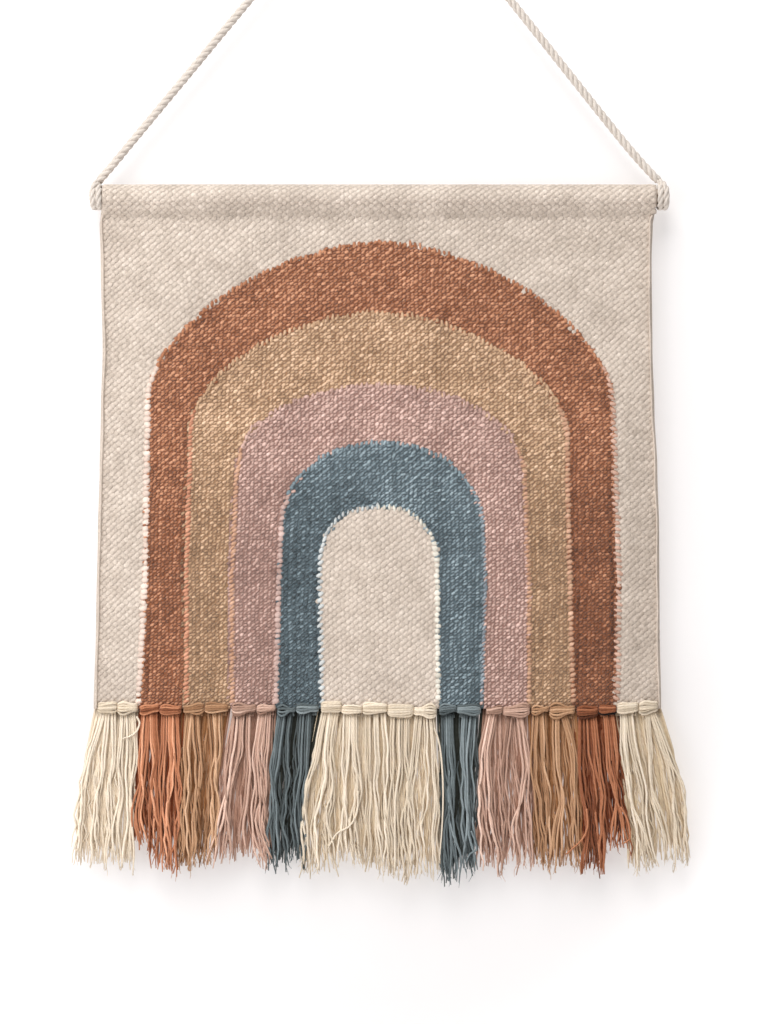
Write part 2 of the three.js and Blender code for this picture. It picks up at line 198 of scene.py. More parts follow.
# The tassels from left to right, as in the frame: the head's sides and how far it goes over and under
# the hem, the tips' sides, the shortest and longest yarn, and the tones of the yarns and of the head
TASSEL_COLUMNS = (
    "yarn", "left", "right", "over", "under", "tip_left", "tip_right", "short", "long", "tone", "head",
)
TASSELS = [dict(zip(TASSEL_COLUMNS, row)) for row in (
    ("cream", -226.6, -212, 6.6, 4.2, -247, -222.6, 116, 124, 0.3, 0.42),
    ("cream", -211, -195.6, 6, 4.4, -222.4, -199.4, 116, 124, 0.3, 0.42),
    ("rust", -193, -178.4, 4, 4.7, -199, -185.6, 100, 105, -0.05, 0.3),
    ("rust", -177.2, -160.8, 4, 4.7, -185.4, -164.2, 120, 127, -0.05, 0.3),
    ("ochre", -158, -142.4, 5, 4.2, -164, -150.6, 117, 124, -0.05, 0.33),
    ("ochre", -141.2, -123.2, 5, 3.9, -150.4, -134.6, 113, 119, -0.05, 0.33),
    ("pink", -119.2, -101, 5.9, 4.5, -134.4, -111.4, 113, 120, 0.06, 0.33),
    ("pink", -99.8, -85.6, 3.5, 3.9, -111.2, -89.2, 112, 121, 0.06, 0.33),
    ("blue", -83.2, -69.6, 3, 4.5, -89, -76.8, 118, 125, -0.3, 0.37),
    ("blue", -68, -51.4, 4.5, 3.9, -76.6, -64.6, 113, 121, -0.3, 0.37),
    ("cream", -48.2, -32.8, 6.7, 4.2, -64.4, -43.8, 114, 130, 0.1, 0.7),
    ("cream", -31.8, -16.2, 3.5, 4.5, -43.6, -20.4, 113, 121, 0.1, 0.7),
    ("cream", -15, 3.8, 5.1, 5.3, -20.2, -4.8, 116, 126, 0.1, 0.7),
    ("cream", 5, 24.8, 5.1, 6.8, -4.6, 18.2, 119, 129, 0.1, 0.7),
    ("cream", 26, 43.2, 3.5, 7, 18.4, 47.6, 120, 131, 0.1, 0.7),
    ("blue", 46.2, 59, 3, 5.6, 47.8, 60, 126, 136, -0.18, 0.33),
    ("blue", 60.2, 78.4, 3.9, 5.3, 60.2, 74.4, 118, 126, -0.18, 0.33),
    ("pink", 83.8, 95.8, 3, 4.2, 74.8, 96.8, 118, 126, 0.05, 0.38),
    ("pink", 97, 117.6, 4.3, 6.6, 97, 121.6, 116, 123, 0.05, 0.38),
    ("ochre", 120, 132.8, 3, 4.2, 121.8, 135.2, 116, 125, -0.02, 0.45),
    ("ochre", 134.4, 153.6, 4.5, 6.6, 135.4, 160, 116, 123, -0.02, 0.45),
    ("rust", 156, 172.2, 3.5, 6.8, 160.2, 176.8, 120, 127, -0.26, -0.1),
    ("rust", 173.6, 186.4, 4.6, 4.7, 177, 196.8, 101, 109, -0.26, -0.1),
    ("cream", 188, 204.2, 5.9, 4.2, 197, 219.2, 116, 126, 0.05, 0.4),
    ("cream", 205.6, 219.8, 6.8, 4.2, 219.4, 247, 111, 120, 0.05, 0.4),
)]

# The locks in front of each tassel: its yarns, and the picture's columns at its root, at three
# heights and at its tip
LOCK_LINES = (755, 790, 825)
LOCKS = (
    ((3, 104, 92, 84, 79, 76), (3, 108, 104, 99, 96, 94), (3, 113, 113, 110, 109, 107)),
    ((3, 123, 121, 120, 117, 119), (3, 129, 131, 129, 129, 128), (2, 134, 136, 133, 132, 131)),
    ((5, 147, 144, 140, 139, 142), (5, 154, 155, 155, 154, 153)),
    ((3, 165, 164, 162, 161, 160), (3, 171, 171, 171, 168, 167), (3, 176, 178, 180, 176, 175)),
    ((4, 191, 187, 188, 186, 185), (4, 196, 198, 200, 194, 196)),
    ((4, 212, 215, 212, 211, 206), (4, 219, 219, 215, 214, 211)),
    ((3, 237, 233, 226, 219, 213), (3, 243, 239, 231, 227, 225), (2, 248, 247, 246, 243, 243)),
    ((5, 263, 258, 257, 256, 268), (3, 268, 266, 264, 261, 271)),
    ((3, 280, 275, 272, 270, 272), (3, 285, 280, 276, 277, 278), (2, 290, 286, 287, 285, 286)),
    ((4, 303, 300, 297, 296, 295), (3, 309, 306, 303, 302, 301)),
    ((3, 325, 316, 307, 305, 304), (3, 330, 325, 322, 315, 313), (3, 336, 330, 332, 329, 332)),
    ((4, 347, 346, 344, 344, 342), (4, 354, 355, 358, 354, 356)),
    ((3, 368, 368, 370, 367, 366), (3, 376, 377, 377, 378, 380), (3, 383, 386, 387, 386, 387)),
    ((3, 393, 391, 392, 390, 391), (3, 400, 399, 399, 398, 396), (3, 407, 407, 408, 406, 405)),
    ((4, 419, 415, 411, 412, 411), (2, 425, 426, 425, 421, 424), (3, 431, 434, 435, 435, 436)),
    ((4, 444, 445, 447, 446, 446), (4, 449, 450, 451, 452, 455)),
    ((5, 466, 464, 465, 468, 471), (4, 473, 470, 469, 470, 469)),
    ((4, 490, 482, 481, 485, 488), (3, 495, 488, 488, 494, 498)),
    ((3, 510, 506, 505, 506, 504), (3, 519, 524, 522, 517, 515), (3, 520, 527, 528, 529, 527)),
    ((3, 536, 534, 537, 540, 542), (4, 542, 544, 547, 547, 546)),
    ((4, 556, 556, 562, 556, 554), (4, 563, 573, 571, 575, 577)),
    ((3, 581, 581, 584, 585, 583), (3, 589, 591, 595, 596, 597), (3, 593, 597, 602, 601, 603)),
    ((4, 606, 610, 614, 621, 626), (4, 610, 615, 615, 618, 614)),
    ((4, 623, 624, 629, 638, 641), (4, 629, 634, 642, 646, 653)),
    ((3, 647, 650, 653, 661, 668), (3, 651, 664, 673, 677, 676), (2, 653, 670, 682, 685, 687)),
)

# Single yarns that lie across the others: tassel, then the picture's columns and lines
STRAYS = (
    (2, (137, 716), (140, 722), (137, 731), (130, 736), (123, 738)),
    (
        11, (331, 768), (333, 784), (331, 797), (327, 807),
        (327, 819), (330, 832), (334, 846), (335, 858),
    ),
    (12, (358, 790), (357, 812), (349, 826), (338, 832), (331, 842), (328, 848)),
    (15, (434, 727), (438, 738), (441, 755), (443, 790), (442, 825), (439, 862)),
    (17, (471, 830), (475, 841), (476, 849), (470, 853), (466, 861)),
    (22, (586, 808), (587, 826), (582, 838), (573, 847), (565, 854)),
    (23, (620, 806), (626, 817), (629, 829), (629, 838), (622, 843)),
)

STRAY_PROUD = 2.6  # how far they lie in front of the cloth
WISPS, WISP_RADIUS = 26, 0.38  # thin fibres at each tassel's tip
ANY_PHASE = 6.28  # a whole turn


def linear(red, green, blue):
    """A colour given in screen values from 0 to 255, as the linear values that a material takes."""
    def one(value):  # the sRGB curve
        c = value / 255
        return c / 12.92 if c <= 0.04045 else ((c + 0.055) / 1.055) ** 2.4
    return one(red), one(green), one(blue)


def colour_property(name, description, rgb):
    return FloatVectorProperty(
        name=name, description=description, subtype="COLOR", size=3, min=0, max=1, default=linear(*rgb)
    )


def length_property(name, description, metres):
    return FloatProperty(name=name, description=description, default=metres, unit="LENGTH")


class WeaveSettings(PropertyGroup):
    """Sizes of the weave and its yarns"""
    row: length_property("Row", "Height of one row of the weave", 0.0025)
    columns: IntProperty(name="Columns", description="Grains of the weave across the panel", default=141)
    grain_height: length_property("Grain height", "How far a grain stands up", 0.001)


class CordSettings(PropertyGroup):
    """Sizes of the hanging cord"""
    diameter: length_property("Diameter", "Diameter of the cord", 0.0062)
    lay: length_property("Lay", "Length in which a strand goes once round", 0.0185)
    strands: IntProperty(name="Strands", description="Strands twisted into the cord", default=3)


class TasselSettings(PropertyGroup):
    """Sizes of the tassels"""
    yarns_behind: IntProperty(
        name="Yarns behind", description="Yarns in the layers behind the locks", default=28,
    )
    yarn_diameter: length_property("Yarn diameter", "Diameter of a hanging yarn", 0.0019)
    wander: length_property("Wander", "How far the yarns wave to the side", 0.0008)


class YarnColours(PropertyGroup):
    """Colours of the yarns, the cord and the rod"""
    cream: colour_property("Cream", "Undyed yarn of the field", (213, 198, 184))
    rust: colour_property("Rust", "Yarn of the outer arch", (198, 140, 106))
    ochre: colour_property("Ochre", "Yarn of the second arch", (220, 184, 151))
    pink: colour_property("Pink", "Yarn of the third arch", (217, 182, 170))
    blue: colour_property("Blue", "Yarn of the inner arch", (146, 162, 169))
    shell: colour_property("Shell", "Joins of the outer arch's left leg", (238, 216, 202))
    rose: colour_property("Rose", "Joins of the outer arches' right legs", (216, 176, 156))
    peach: colour_property("Peach", "Joins of the second arch's left leg", (212, 152, 122))
    sand: colour_property("Sand", "Joins of the inner sides of the second and third arches", (208, 164, 136))
    blush: colour_property("Blush", "Joins of the fourth arch's left leg", (207, 178, 169))
    slate: colour_property("Slate", "Joins of the fourth arch's right leg", (150, 158, 165))
    mist: colour_property("Mist", "Joins of the middle's left side", (212, 215, 214))
    bone: colour_property("Bone", "Joins of the middle's right side", (238, 232, 219))
    fringe_cream: colour_property("Cream fringe", "Front yarns of the cream tassels", (228, 213, 192))
    fringe_rust: colour_property("Rust fringe", "Front yarns of the rust tassels", (211, 146, 109))
    fringe_ochre: colour_property("Ochre fringe", "Front yarns of the ochre tassels", (201, 159, 124))
    fringe_pink: colour_property("Pink fringe", "Front yarns of the pink tassels", (213, 177, 158))
    fringe_blue: colour_property("Blue fringe", "Front yarns of the blue tassels", (141, 152, 155))
    # painted shade: darker copies of the fringe colours for the yarns behind, standing for the shade among
    # them
    shade_cream: colour_property("Cream shade", "Yarns behind in the cream tassels", (221, 199, 167))
    shade_rust: colour_property("Rust shade", "Yarns behind in the rust tassels", (134, 68, 35))
    shade_ochre: colour_property("Ochre shade", "Yarns behind in the ochre tassels", (160, 111, 71))
    shade_pink: colour_property("Pink shade", "Yarns behind in the pink tassels", (161, 120, 100))
    shade_blue: colour_property("Blue shade", "Yarns behind in the blue tassels", (64, 66, 58))
    cord: colour_property("Cord", "Cotton of the cord", (222, 212, 202))
    wood: colour_property("Wood", "Rod", (203, 168, 124))


class StageSettings(PropertyGroup):
    """Light, backdrop and camera"""
    key_power: FloatProperty(
        name="Key", description="Power of the large soft light", default=92, unit="POWER",
    )
    fill: FloatProperty(name="Fill", description="Strength of the light from all round", default=0.41)
    camera_distance: length_property("Camera distance", "From the camera to the cloth", 2.5)
    wall_gap: length_property("Wall", "From the rod's axis to the wall", 0.0135)
    floor: length_property("Floor", "Height of the floor", -1.5)


# Cloth shape

def from_picture(column, line):
    """The x and z in millimetres of a place in the picture."""
    return (column - PEG_COLUMN) * PIXEL, (PEG_LINE - line) * PIXEL


def smooth(value, low, high):
    t = np.clip((np.asarray(value, float) - low) / (high - low), 0, 1)
    return t * t * (3 - 2 * t)


def lerp(a, b, t):
    return a + (b - a) * t


def edges_at(z):
    """The left and right edges of the panel at the heights z."""
    down = -np.asarray(z, float)
    rows = -EDGES[:, 0]
    low = np.clip(np.searchsorted(rows, down), 1, len(rows) - 1)
    t = smooth((down - rows[low - 1]) / (rows[low] - rows[low - 1]), 0, 1)
    return tuple(lerp(EDGES[low - 1, i], EDGES[low, i], t) for i in (1, 2))


def sway(x, z):
    """How far the cloth stands before (-) or behind (+) its flat plane."""
    hangs = smooth(SEAM_Z - np.asarray(z), SWAY_STARTS, SWAY_WHOLE)
    return hangs * sum(
        size * np.sin(2 * np.pi * (x - start + lean * z) / length) for size, length, start, lean in WAVES
    )


def straight(start, end, steps):
    """A straight line in the plane of Y and Z, in even steps."""
    return [(lerp(start[0], end[0], i / steps), lerp(start[1], end[1], i / steps)) for i in range(steps + 1)]


def sleeve_arc(radius):
    """The cloth's line over the rod, from the front to the back."""
    angles = np.linspace(-SLEEVE_TURN, SLEEVE_TURN, SLEEVE_STEPS)
    return [(radius * math.sin(a), ROD_AXIS_Z + radius * math.cos(a)) for a in angles]


# The turn from the top of the sleeve to where it leaves the rod for the seam
SLEEVE_TURN = (
    math.atan2(-SEAM_Z + ROD_AXIS_Z, CLOTH) + math.acos(SLEEVE_OUTER / math.hypot(CLOTH, ROD_AXIS_Z - SEAM_Z))
)


def run_along(paths):
    """How far along its path each point is."""
    steps = np.linalg.norm(np.diff(paths, axis=-2), axis=-1)
    return np.concatenate([np.zeros((*steps.shape[:-1], 1)), np.cumsum(steps, axis=-1)], axis=-1)


class Side:
    """One side of the cloth: a line in the plane of Y and Z, drawn out across the panel."""

    def __init__(self, points):
        self.points = np.array(points, float)
        self.run = run_along(self.points)
        self.length = self.run[-1]

    def at(self, s):
        return np.interp(s, self.run, self.points[:, 0]), np.interp(s, self.run, self.points[:, 1])

    def place(self, x, s, out):
        """Points at x across and s along the line, standing out from the cloth."""
        y, z = self.at(s)
        (y0, z0), (y1, z1) = self.at(s - SLOPE_STEP), self.at(s + SLOPE_STEP)
        long = np.hypot(y1 - y0, z1 - z0) + 1e-9
        across, up = -(z1 - z0) / long, (y1 - y0) / long
        return np.stack([x, y + sway(x, z) + across * out, z + up * out], axis=-1)


FRONT = Side(
    straight((-CLOTH, HEM_Z), (-CLOTH, SEAM_Z), CLOTH_ROWS)
    + sleeve_arc(SLEEVE_OUTER)
    + [(CLOTH, SEAM_Z), (CLOTH, SEAM_Z - TURNED_HEM)]
)
BACK = Side(straight((0, SEAM_Z - TURNED_HEM), (0, HEM_Z), CLOTH_ROWS))


def painted_seam_shade(z):
    """How much painted shade falls on the weave along the seam under the sleeve."""
    return smooth(z, SEAM_Z - 3, SEAM_Z + 1) * (1 - smooth(z, SEAM_Z + 5, SEAM_Z + 12))


def leg(arch, side, z):
    """Where a leg of an arch stands at the heights z."""
    at_spring = arch["centre"] + (arch["half"] if side == "right" else -arch["half"])
    heights = [LEG_FOOT_Z, LEG_MID_Z, arch["spring"]]
    return np.interp(z, heights, [arch[side + "_foot"], arch[side + "_mid"], at_spring])


def arch_side(arch, side, z):
    """The left or right edge of an arch at the heights z, up to its crown."""
    rise = np.clip((z - arch["spring"]) / (arch["crown"] - arch["spring"]), 0, 1)
    bend = (1 - rise ** arch["power"]) ** (1 / arch["power"])
    lean = leg(arch, side, z) - leg(arch, side, arch["spring"])
    return arch["centre"] + (arch["half"] if side == "right" else -arch["half"]) * bend + lean


def arch_line(arch):
    """An arch's edge from its left foot over the crown to its right foot."""
    z = np.arange(HEM_Z + FIRST_JOIN, arch["spring"], 2.0)
    angle = np.linspace(np.pi, 0, 161)
    reach = np.sign(np.cos(angle)) * np.abs(np.cos(angle)) ** (2 / arch["power"])
    rise = np.clip(np.sin(angle), 0, 1) ** (2 / arch["power"])
    over = arch["centre"] + arch["half"] * reach
    x = np.concatenate([leg(arch, "left", z), over, leg(arch, "right", z[::-1])])
    z = np.concatenate([z, arch["spring"] + (arch["crown"] - arch["spring"]) * rise, z[::-1]])
    return np.stack([x, np.zeros_like(x), z], axis=1)


def painted_shade_beside_joins(x, z):
    """How much painted shade the weave gets beside the joins, from 0 to 1."""
    painted_shading = np.zeros(np.shape(x))
    for join in JOINS:
        arch = ARCHES[join["arch"]]
        outward = (x - arch_side(arch, join["hand"], z)) * (-1 if join["hand"] == "left" else 1)
        near = np.exp(-((outward - join["furrow_shade"]) / JOIN_SHADE_WIDTH) ** 2)
        painted_shading = np.maximum(painted_shading, near * (z < arch["crown"]))
    return painted_shading


def yarn_at(x, z, tooth):
    """Which yarn the weave has at a place: 0 to 4 as in YARNS, with teeth at the edges of the arches."""
    inside = np.zeros(np.shape(x), int)
    for arch in ARCHES:
        spring, crown = arch["spring"], arch["crown"]
        longer = lerp(TOOTH_ON_LEG, TOOTH_ON_TOP, smooth(z, spring, lerp(spring, crown, TOP_BEGINS)))
        reach = tooth * np.where(x < arch["centre"], -1, 1) * longer
        within = (x > arch_side(arch, "left", z) + reach) & (x < arch_side(arch, "right", z) + reach)
        inside += within & (z < crown + TOOTH_AT_CROWN * tooth)
    return np.where(inside == len(ARCHES), 0, inside)


# Meshes

def mesh_piece(name, points, loops, sizes, materials, uv=None, tone=None, lit_share=None, face_material=None):
    """A smooth piece from points in millimetres, the corners of its faces and the faces' sizes."""
    mesh = bpy.data.meshes.new(name)
    flat = np.asarray(points, np.float64).reshape(-1, 3) * MM
    mesh.vertices.add(len(flat))
    mesh.vertices.foreach_set("co", flat.ravel())
    mesh.loops.add(len(loops))
    mesh.loops.foreach_set("vertex_index", np.asarray(loops, np.int32))
    mesh.polygons.add(len(sizes))
    mesh.polygons.foreach_set("loop_start", np.concatenate([[0], np.cumsum(sizes)[:-1]]).astype(np.int32))
    mesh.update(calc_edges=True)
    mesh.shade_smooth()
    for material in materials:
        mesh.materials.append(material)
    if face_material is not None:
        mesh.polygons.foreach_set("material_index", np.asarray(face_material, np.int32))
    if uv is not None:
        mesh.uv_layers.new(name="yarn").uv.foreach_set("vector", np.asarray(uv, np.float32).ravel())
    for attribute, values in (("tone", tone), ("lit_share", lit_share)):
        if values is not None:
            data = mesh.attributes.new(attribute, "FLOAT", "POINT").data
            data.foreach_set("value", np.asarray(values, np.float32).ravel())
    piece = bpy.data.objects.new(name, mesh)
    bpy.context.scene.collection.objects.link(piece)
    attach(piece, "root")
    return piece


class Heap:
    """Meshes gathered to be joined into one piece."""

    def __init__(self):
        self.parts = []
        self.count = 0

    def add(self, points, loops, sizes, uv, tone, lit_share):
        points = points.reshape(-1, 3)
        self.parts.append((points, loops + self.count, sizes, uv.reshape(-1, 2), tone.ravel(), lit_share.ravel()))
        self.count += len(points)

    def piece(self, name, material):
        points, loops, sizes, uv, tone, lit_share = (np.concatenate(part) for part in zip(*self.parts))
        return mesh_piece(name, points, loops, sizes, [material], uv, tone, lit_share)


def mound(sides, rings):
    """A small closed mound over the plane, in rings from its foot to its crest."""
    angles = 2 * np.pi * np.arange(sides) / sides
    points = [(r * math.cos(a), r * math.sin(a), h) for r, h in rings for a in angles]
    points.append((0, 0, 1))
    faces = [list(range(sides))[::-1]]
    for k in range(len(rings) - 1):
        for i in range(sides):
            j = (i + 1) % sides
            faces.append([k * sides + i, k * sides + j, (k + 1) * sides + j, (k + 1) * sides + i])
    top = (len(rings) - 1) * sides
    faces += [[top + i, top + (i + 1) % sides, len(points) - 1] for i in range(sides)]
    return np.array(points), faces


GRAIN_FOOT = [(1, 0), (0.5, 0.95), (-0.5, 0.95), (-1, 0), (-0.5, -0.95), (0.5, -0.95)]
GRAIN_SUNK = -0.15  # its foot goes into the cloth
GRAIN_SHOULDER = (0.7, 0.55, 0.82)  # length, width and height of a grain's upper ring
GRAIN_TURN = math.radians(37)
KNOT_RIDGE = 0.45  # half the length of a knot's ridge


def grain():
    """One grain of the weave's ribs: a long closed pad."""
    long, wide, high = GRAIN_SHOULDER
    points = [(x, y, GRAIN_SUNK) for x, y in GRAIN_FOOT]
    points += [(long * x, wide * y, high) for x, y in GRAIN_FOOT] + [(0, 0, 1)]
    faces = [[5, 4, 3, 2, 1, 0]] + [[i, (i + 1) % 6, (i + 1) % 6 + 6, i + 6] for i in range(6)]
    faces += [[6 + i, 6 + (i + 1) % 6, 12] for i in range(6)]
    return np.array(points, float), faces


def knot():
    """A small grain between the ribs: a low closed ridge."""
    points = [(x, y, GRAIN_SUNK) for x, y in GRAIN_FOOT] + [(KNOT_RIDGE, 0, 1), (-KNOT_RIDGE, 0, 1)]
    faces = [[5, 4, 3, 2, 1, 0], [0, 1, 6], [1, 2, 7, 6], [2, 3, 7], [3, 4, 7], [4, 5, 6, 7], [5, 0, 6]]
    return np.array(points, float), faces


def mounds_on(side, mould, x, s, length, width, height, slant, tone):
    """Copies of a mound laid on a side of the cloth, each with its own size and slant."""
    points, faces = mould
    p, q, h = (points[:, i][None, :] for i in range(3))
    along, over = p * length[:, None] / 2, q * width[:, None] / 2
    cos, sin = np.cos(slant)[:, None], np.sin(slant)[:, None]
    u, v = along * cos - over * sin, along * sin + over * cos
    places = side.place(x[:, None] + u, s[:, None] + v, h * height[:, None])
    loops = np.concatenate(faces)
    copies = np.arange(len(x))[:, None] * len(points)
    ply = np.broadcast_to(0.25 * q, along.shape)
    return (
        places,
        (loops[None, :] + copies).ravel(),
        np.tile([len(f) for f in faces], len(x)),
        np.stack([(along / TWIST)[:, loops], ply[:, loops]], axis=-1),
        np.repeat(tone, len(points)),
        # each point's share of light by its height on the mound, for the painted shade in the furrows
        np.tile(np.clip(points[:, 2], 0, 1), len(x)),
    )


def frames_along(paths, reference):
    """Two directions across a path at each of its points."""
    tangent = np.gradient(paths, axis=-2)
    tangent /= np.linalg.norm(tangent, axis=-1, keepdims=True)
    normal = np.cross(np.broadcast_to(np.asarray(reference, float), tangent.shape), tangent)
    normal /= np.linalg.norm(normal, axis=-1, keepdims=True)
    return normal, np.cross(tangent, normal)


def tubes(paths, radii, sides, reference, tone, twist=TWIST, flatten=1.0, lit_share=1.0):
    """Closed tubes along paths of equal numbers of points, with their own length as a UV map."""
    paths = np.asarray(paths, float)
    n, k, _ = paths.shape
    normal, other = frames_along(paths, reference)
    angles = 2 * np.pi * np.arange(sides) / sides
    radii = np.broadcast_to(radii, (n, k))[..., None, None]
    cos, sin = np.cos(angles)[:, None], np.sin(angles)[:, None]
    ring = normal[:, :, None] * cos + flatten * other[:, :, None] * sin
    points = paths[:, :, None] + radii * ring

    i, j = (index.ravel() for index in np.meshgrid(np.arange(k - 1), np.arange(sides), indexing="ij"))
    right = (j + 1) % sides
    quads = np.stack([i * sides + j, i * sides + right, (i + 1) * sides + right, (i + 1) * sides + j], axis=1)
    loops = np.concatenate([quads.ravel(), np.arange(sides)[::-1], (k - 1) * sides + np.arange(sides)])
    sizes = np.concatenate([np.full(len(quads), 4), [sides, sides]])
    whole = (loops[None] + np.arange(n)[:, None] * k * sides).ravel()

    run = run_along(paths) / twist
    u = np.stack([run[:, i], run[:, i], run[:, i + 1], run[:, i + 1]], axis=2).reshape(n, -1)
    v = np.broadcast_to(np.stack([j, j + 1, j + 1, j], axis=1).ravel() / sides, u.shape)
    ends = np.repeat(run[:, [0, -1]], sides, axis=1)
    u, v = np.concatenate([u, ends], axis=1), np.concatenate([v, np.zeros_like(ends)], axis=1)

    def at_points(values):
        shape = (-1, 1 if np.size(values) in (1, n) else k)
        return np.repeat(np.broadcast_to(np.asarray(values, float).reshape(shape), (n, k)), sides, axis=1)

    return points, whole, np.tile(sizes, n), np.stack([u, v], axis=-1), at_points(tone), at_points(lit_share)


def smooth_line(points, per_span):
    """A centripetal curve through points."""
    points = np.asarray(points, float)
    points = np.vstack([2 * points[0] - points[1], points, 2 * points[-1] - points[-2]])
    out = []
    for a, b, c, d in zip(points, points[1:], points[2:], points[3:]):
        k = np.cumsum([0] + [max(1e-6, np.linalg.norm(q - p)) ** 0.5 for p, q in ((a, b), (b, c), (c, d))])
        for t in np.linspace(k[1], k[2], per_span, endpoint=False):
            def mix(p, q, low, high):
                return (high - t) / (high - low) * p + (t - low) / (high - low) * q
            ab, bc, cd = mix(a, b, k[0], k[1]), mix(b, c, k[1], k[2]), mix(c, d, k[2], k[3])
            out.append(mix(mix(ab, bc, k[0], k[2]), mix(bc, cd, k[1], k[3]), k[1], k[2]))
    return np.array(out + [points[-2]])


def even_line(points, step):
    """The same line with its points an even step apart, and how far along it each is."""
    run = run_along(points)
    s = np.linspace(0, run[-1], max(2, round(run[-1] / step) + 1))
    return np.stack([np.interp(s, run, points[:, i]) for i in range(3)], axis=1), s


def strands_round(line, run, diameter, settings, reference):
    """A twisted rope along a line: each strand winds round it."""
    lay = settings.lay / MM
    strand = diameter / 2 / (1 + 2 / math.sqrt(3))
    reach = diameter / 2 - strand
    normal, other = frames_along(line, reference)
    paths = []
    for i in range(settings.strands):
        turn = 2 * np.pi * (run / lay + i / settings.strands)
        paths.append(line + reach * (normal * np.cos(turn)[:, None] + other * np.sin(turn)[:, None]))
    return tubes(np.array(paths), strand * STRAND_SWELL, ROPE_SIDES, reference, 0.5, twist=lay / 4)


# Materials

FINISH = (("Colour", "NodeSocketColor"), ("Roughness", "NodeSocketFloat"), ("Height", "NodeSocketFloat"))
# Scales of the noises, and how far the fibre and the wood's grain are drawn out
WOOL_FIBRE, WOOL_BLOTCH, WOOL_FLECK, WOOL_DRAWN = 1900, 34, 420, 0.3
YARN_FIBRE, YARN_BLOTCH = 1500, 60
WOOD_RINGS, WOOD_PORES, WOOD_DRAWN = 520, 2600, 0.06
DEEPEN = 0.6  # how much more a colour gains when it is darker


def new_group(name, **inputs):
    """A node group that puts out a colour, a roughness and a height, with the inputs it is given."""
    tree = bpy.data.node_groups.new(name, "ShaderNodeTree")
    for label, default in inputs.items():
        kind = "NodeSocketColor" if isinstance(default, tuple) else "NodeSocketFloat"
        tree.interface.new_socket(label, in_out="INPUT", socket_type=kind).default_value = default
    for label, kind in FINISH:
        tree.interface.new_socket(label, in_out="OUTPUT", socket_type=kind)
    return tree, tree.nodes.new("NodeGroupInput").outputs, tree.nodes.new("NodeGroupOutput").inputs


def add_node(tree, kind, **settings):
    """A new node. A setting named in_ and a number is the value of that input."""
    node = tree.nodes.new(kind)
    for key, value in settings.items():
        if key.startswith("in_"):
            node.inputs[int(key[3:])].default_value = value
        else:
            setattr(node, key, value)
    return node


def calculate(tree, operation, a, b=None):
    node = add_node(tree, "ShaderNodeMath", operation=operation)
    for socket, value in zip(node.inputs, (a, b)):
        if isinstance(value, bpy.types.NodeSocket):
            tree.links.new(value, socket)
        elif value is not None:
            socket.default_value = value
    return node.outputs[0]


def total(tree, first, *others):
    for other in others:
        first = calculate(tree, "ADD", first, other)
    return first


def off(tree, value, middle, amount):
    """How far a value is from its middle, times an amount."""
    return calculate(tree, "MULTIPLY", calculate(tree, "SUBTRACT", value, middle), amount)


def attribute(tree, name):
    return add_node(tree, "ShaderNodeAttribute", attribute_name=name).outputs["Fac"]


def place(tree):
    return add_node(tree, "ShaderNodeTexCoord").outputs["Object"]


def stretched(tree, where, along, turn=0.0):
    """Places pressed together along X, so that a pattern is drawn out that way."""
    node = add_node(tree, "ShaderNodeMapping")
    node.inputs["Rotation"].default_value = (0, turn, 0)
    node.inputs["Scale"].default_value = (along, 1, 1)
    tree.links.new(where, node.inputs["Vector"])
    return node.outputs[0]


def noise(tree, where, scale, detail):
    node = add_node(tree, "ShaderNodeTexNoise")
    node.inputs["Scale"].default_value = scale
    node.inputs["Detail"].default_value = detail
    tree.links.new(where, node.inputs["Vector"])
    return node.outputs["Fac"]


def tinted(tree, colour, value):
    """A colour made lighter by a value over 1, or darker and deeper by one under 1."""
    deepen = add_node(tree, "ShaderNodeGamma")
    tree.links.new(colour, deepen.inputs["Color"])
    gamma = calculate(tree, "SUBTRACT", 1 + DEEPEN, calculate(tree, "MULTIPLY", value, DEEPEN))
    tree.links.new(gamma, deepen.inputs["Gamma"])
    node = add_node(tree, "ShaderNodeVectorMath", operation="SCALE")
    tree.links.new(deepen.outputs[0], node.inputs[0])
    tree.links.new(value, node.inputs["Scale"])
    return node.outputs[0]


def heather_group():
    """Colour and fine fibre of wool: uneven dye, one tone a grain, and painted shade in the furrows."""
    tree, given, out = new_group("heathered_wool", Colour=(0.8, 0.8, 0.8, 1), Heather=0.3, Furrow=0.5)
    where = place(tree)
    fibre = noise(tree, stretched(tree, where, WOOL_DRAWN, GRAIN_TURN), WOOL_FIBRE, 3)
    blotch = noise(tree, where, WOOL_BLOTCH, 2)
    fleck = noise(tree, where, WOOL_FLECK, 1)
    fleck_amount = calculate(tree, "MULTIPLY", given["Heather"], 0.8)
    uneven = total(
        tree, off(tree, attribute(tree, "tone"), 0.5, given["Heather"]), off(tree, blotch, 0.5, 0.36),
        off(tree, fibre, 0.5, 0.35), off(tree, fleck, 0.5, fleck_amount),
    )
    # painted shade: darker where a point's share of light is low, at the foot of each grain in the furrows
    low = off(tree, attribute(tree, "lit_share"), 1.0, given["Furrow"])
    tree.links.new(tinted(tree, given["Colour"], total(tree, 1.0, uneven, low)), out["Colour"])
    tree.links.new(total(tree, 0.82, calculate(tree, "MULTIPLY", fibre, 0.15)), out["Roughness"])
    tree.links.new(fibre, out["Height"])
    return tree


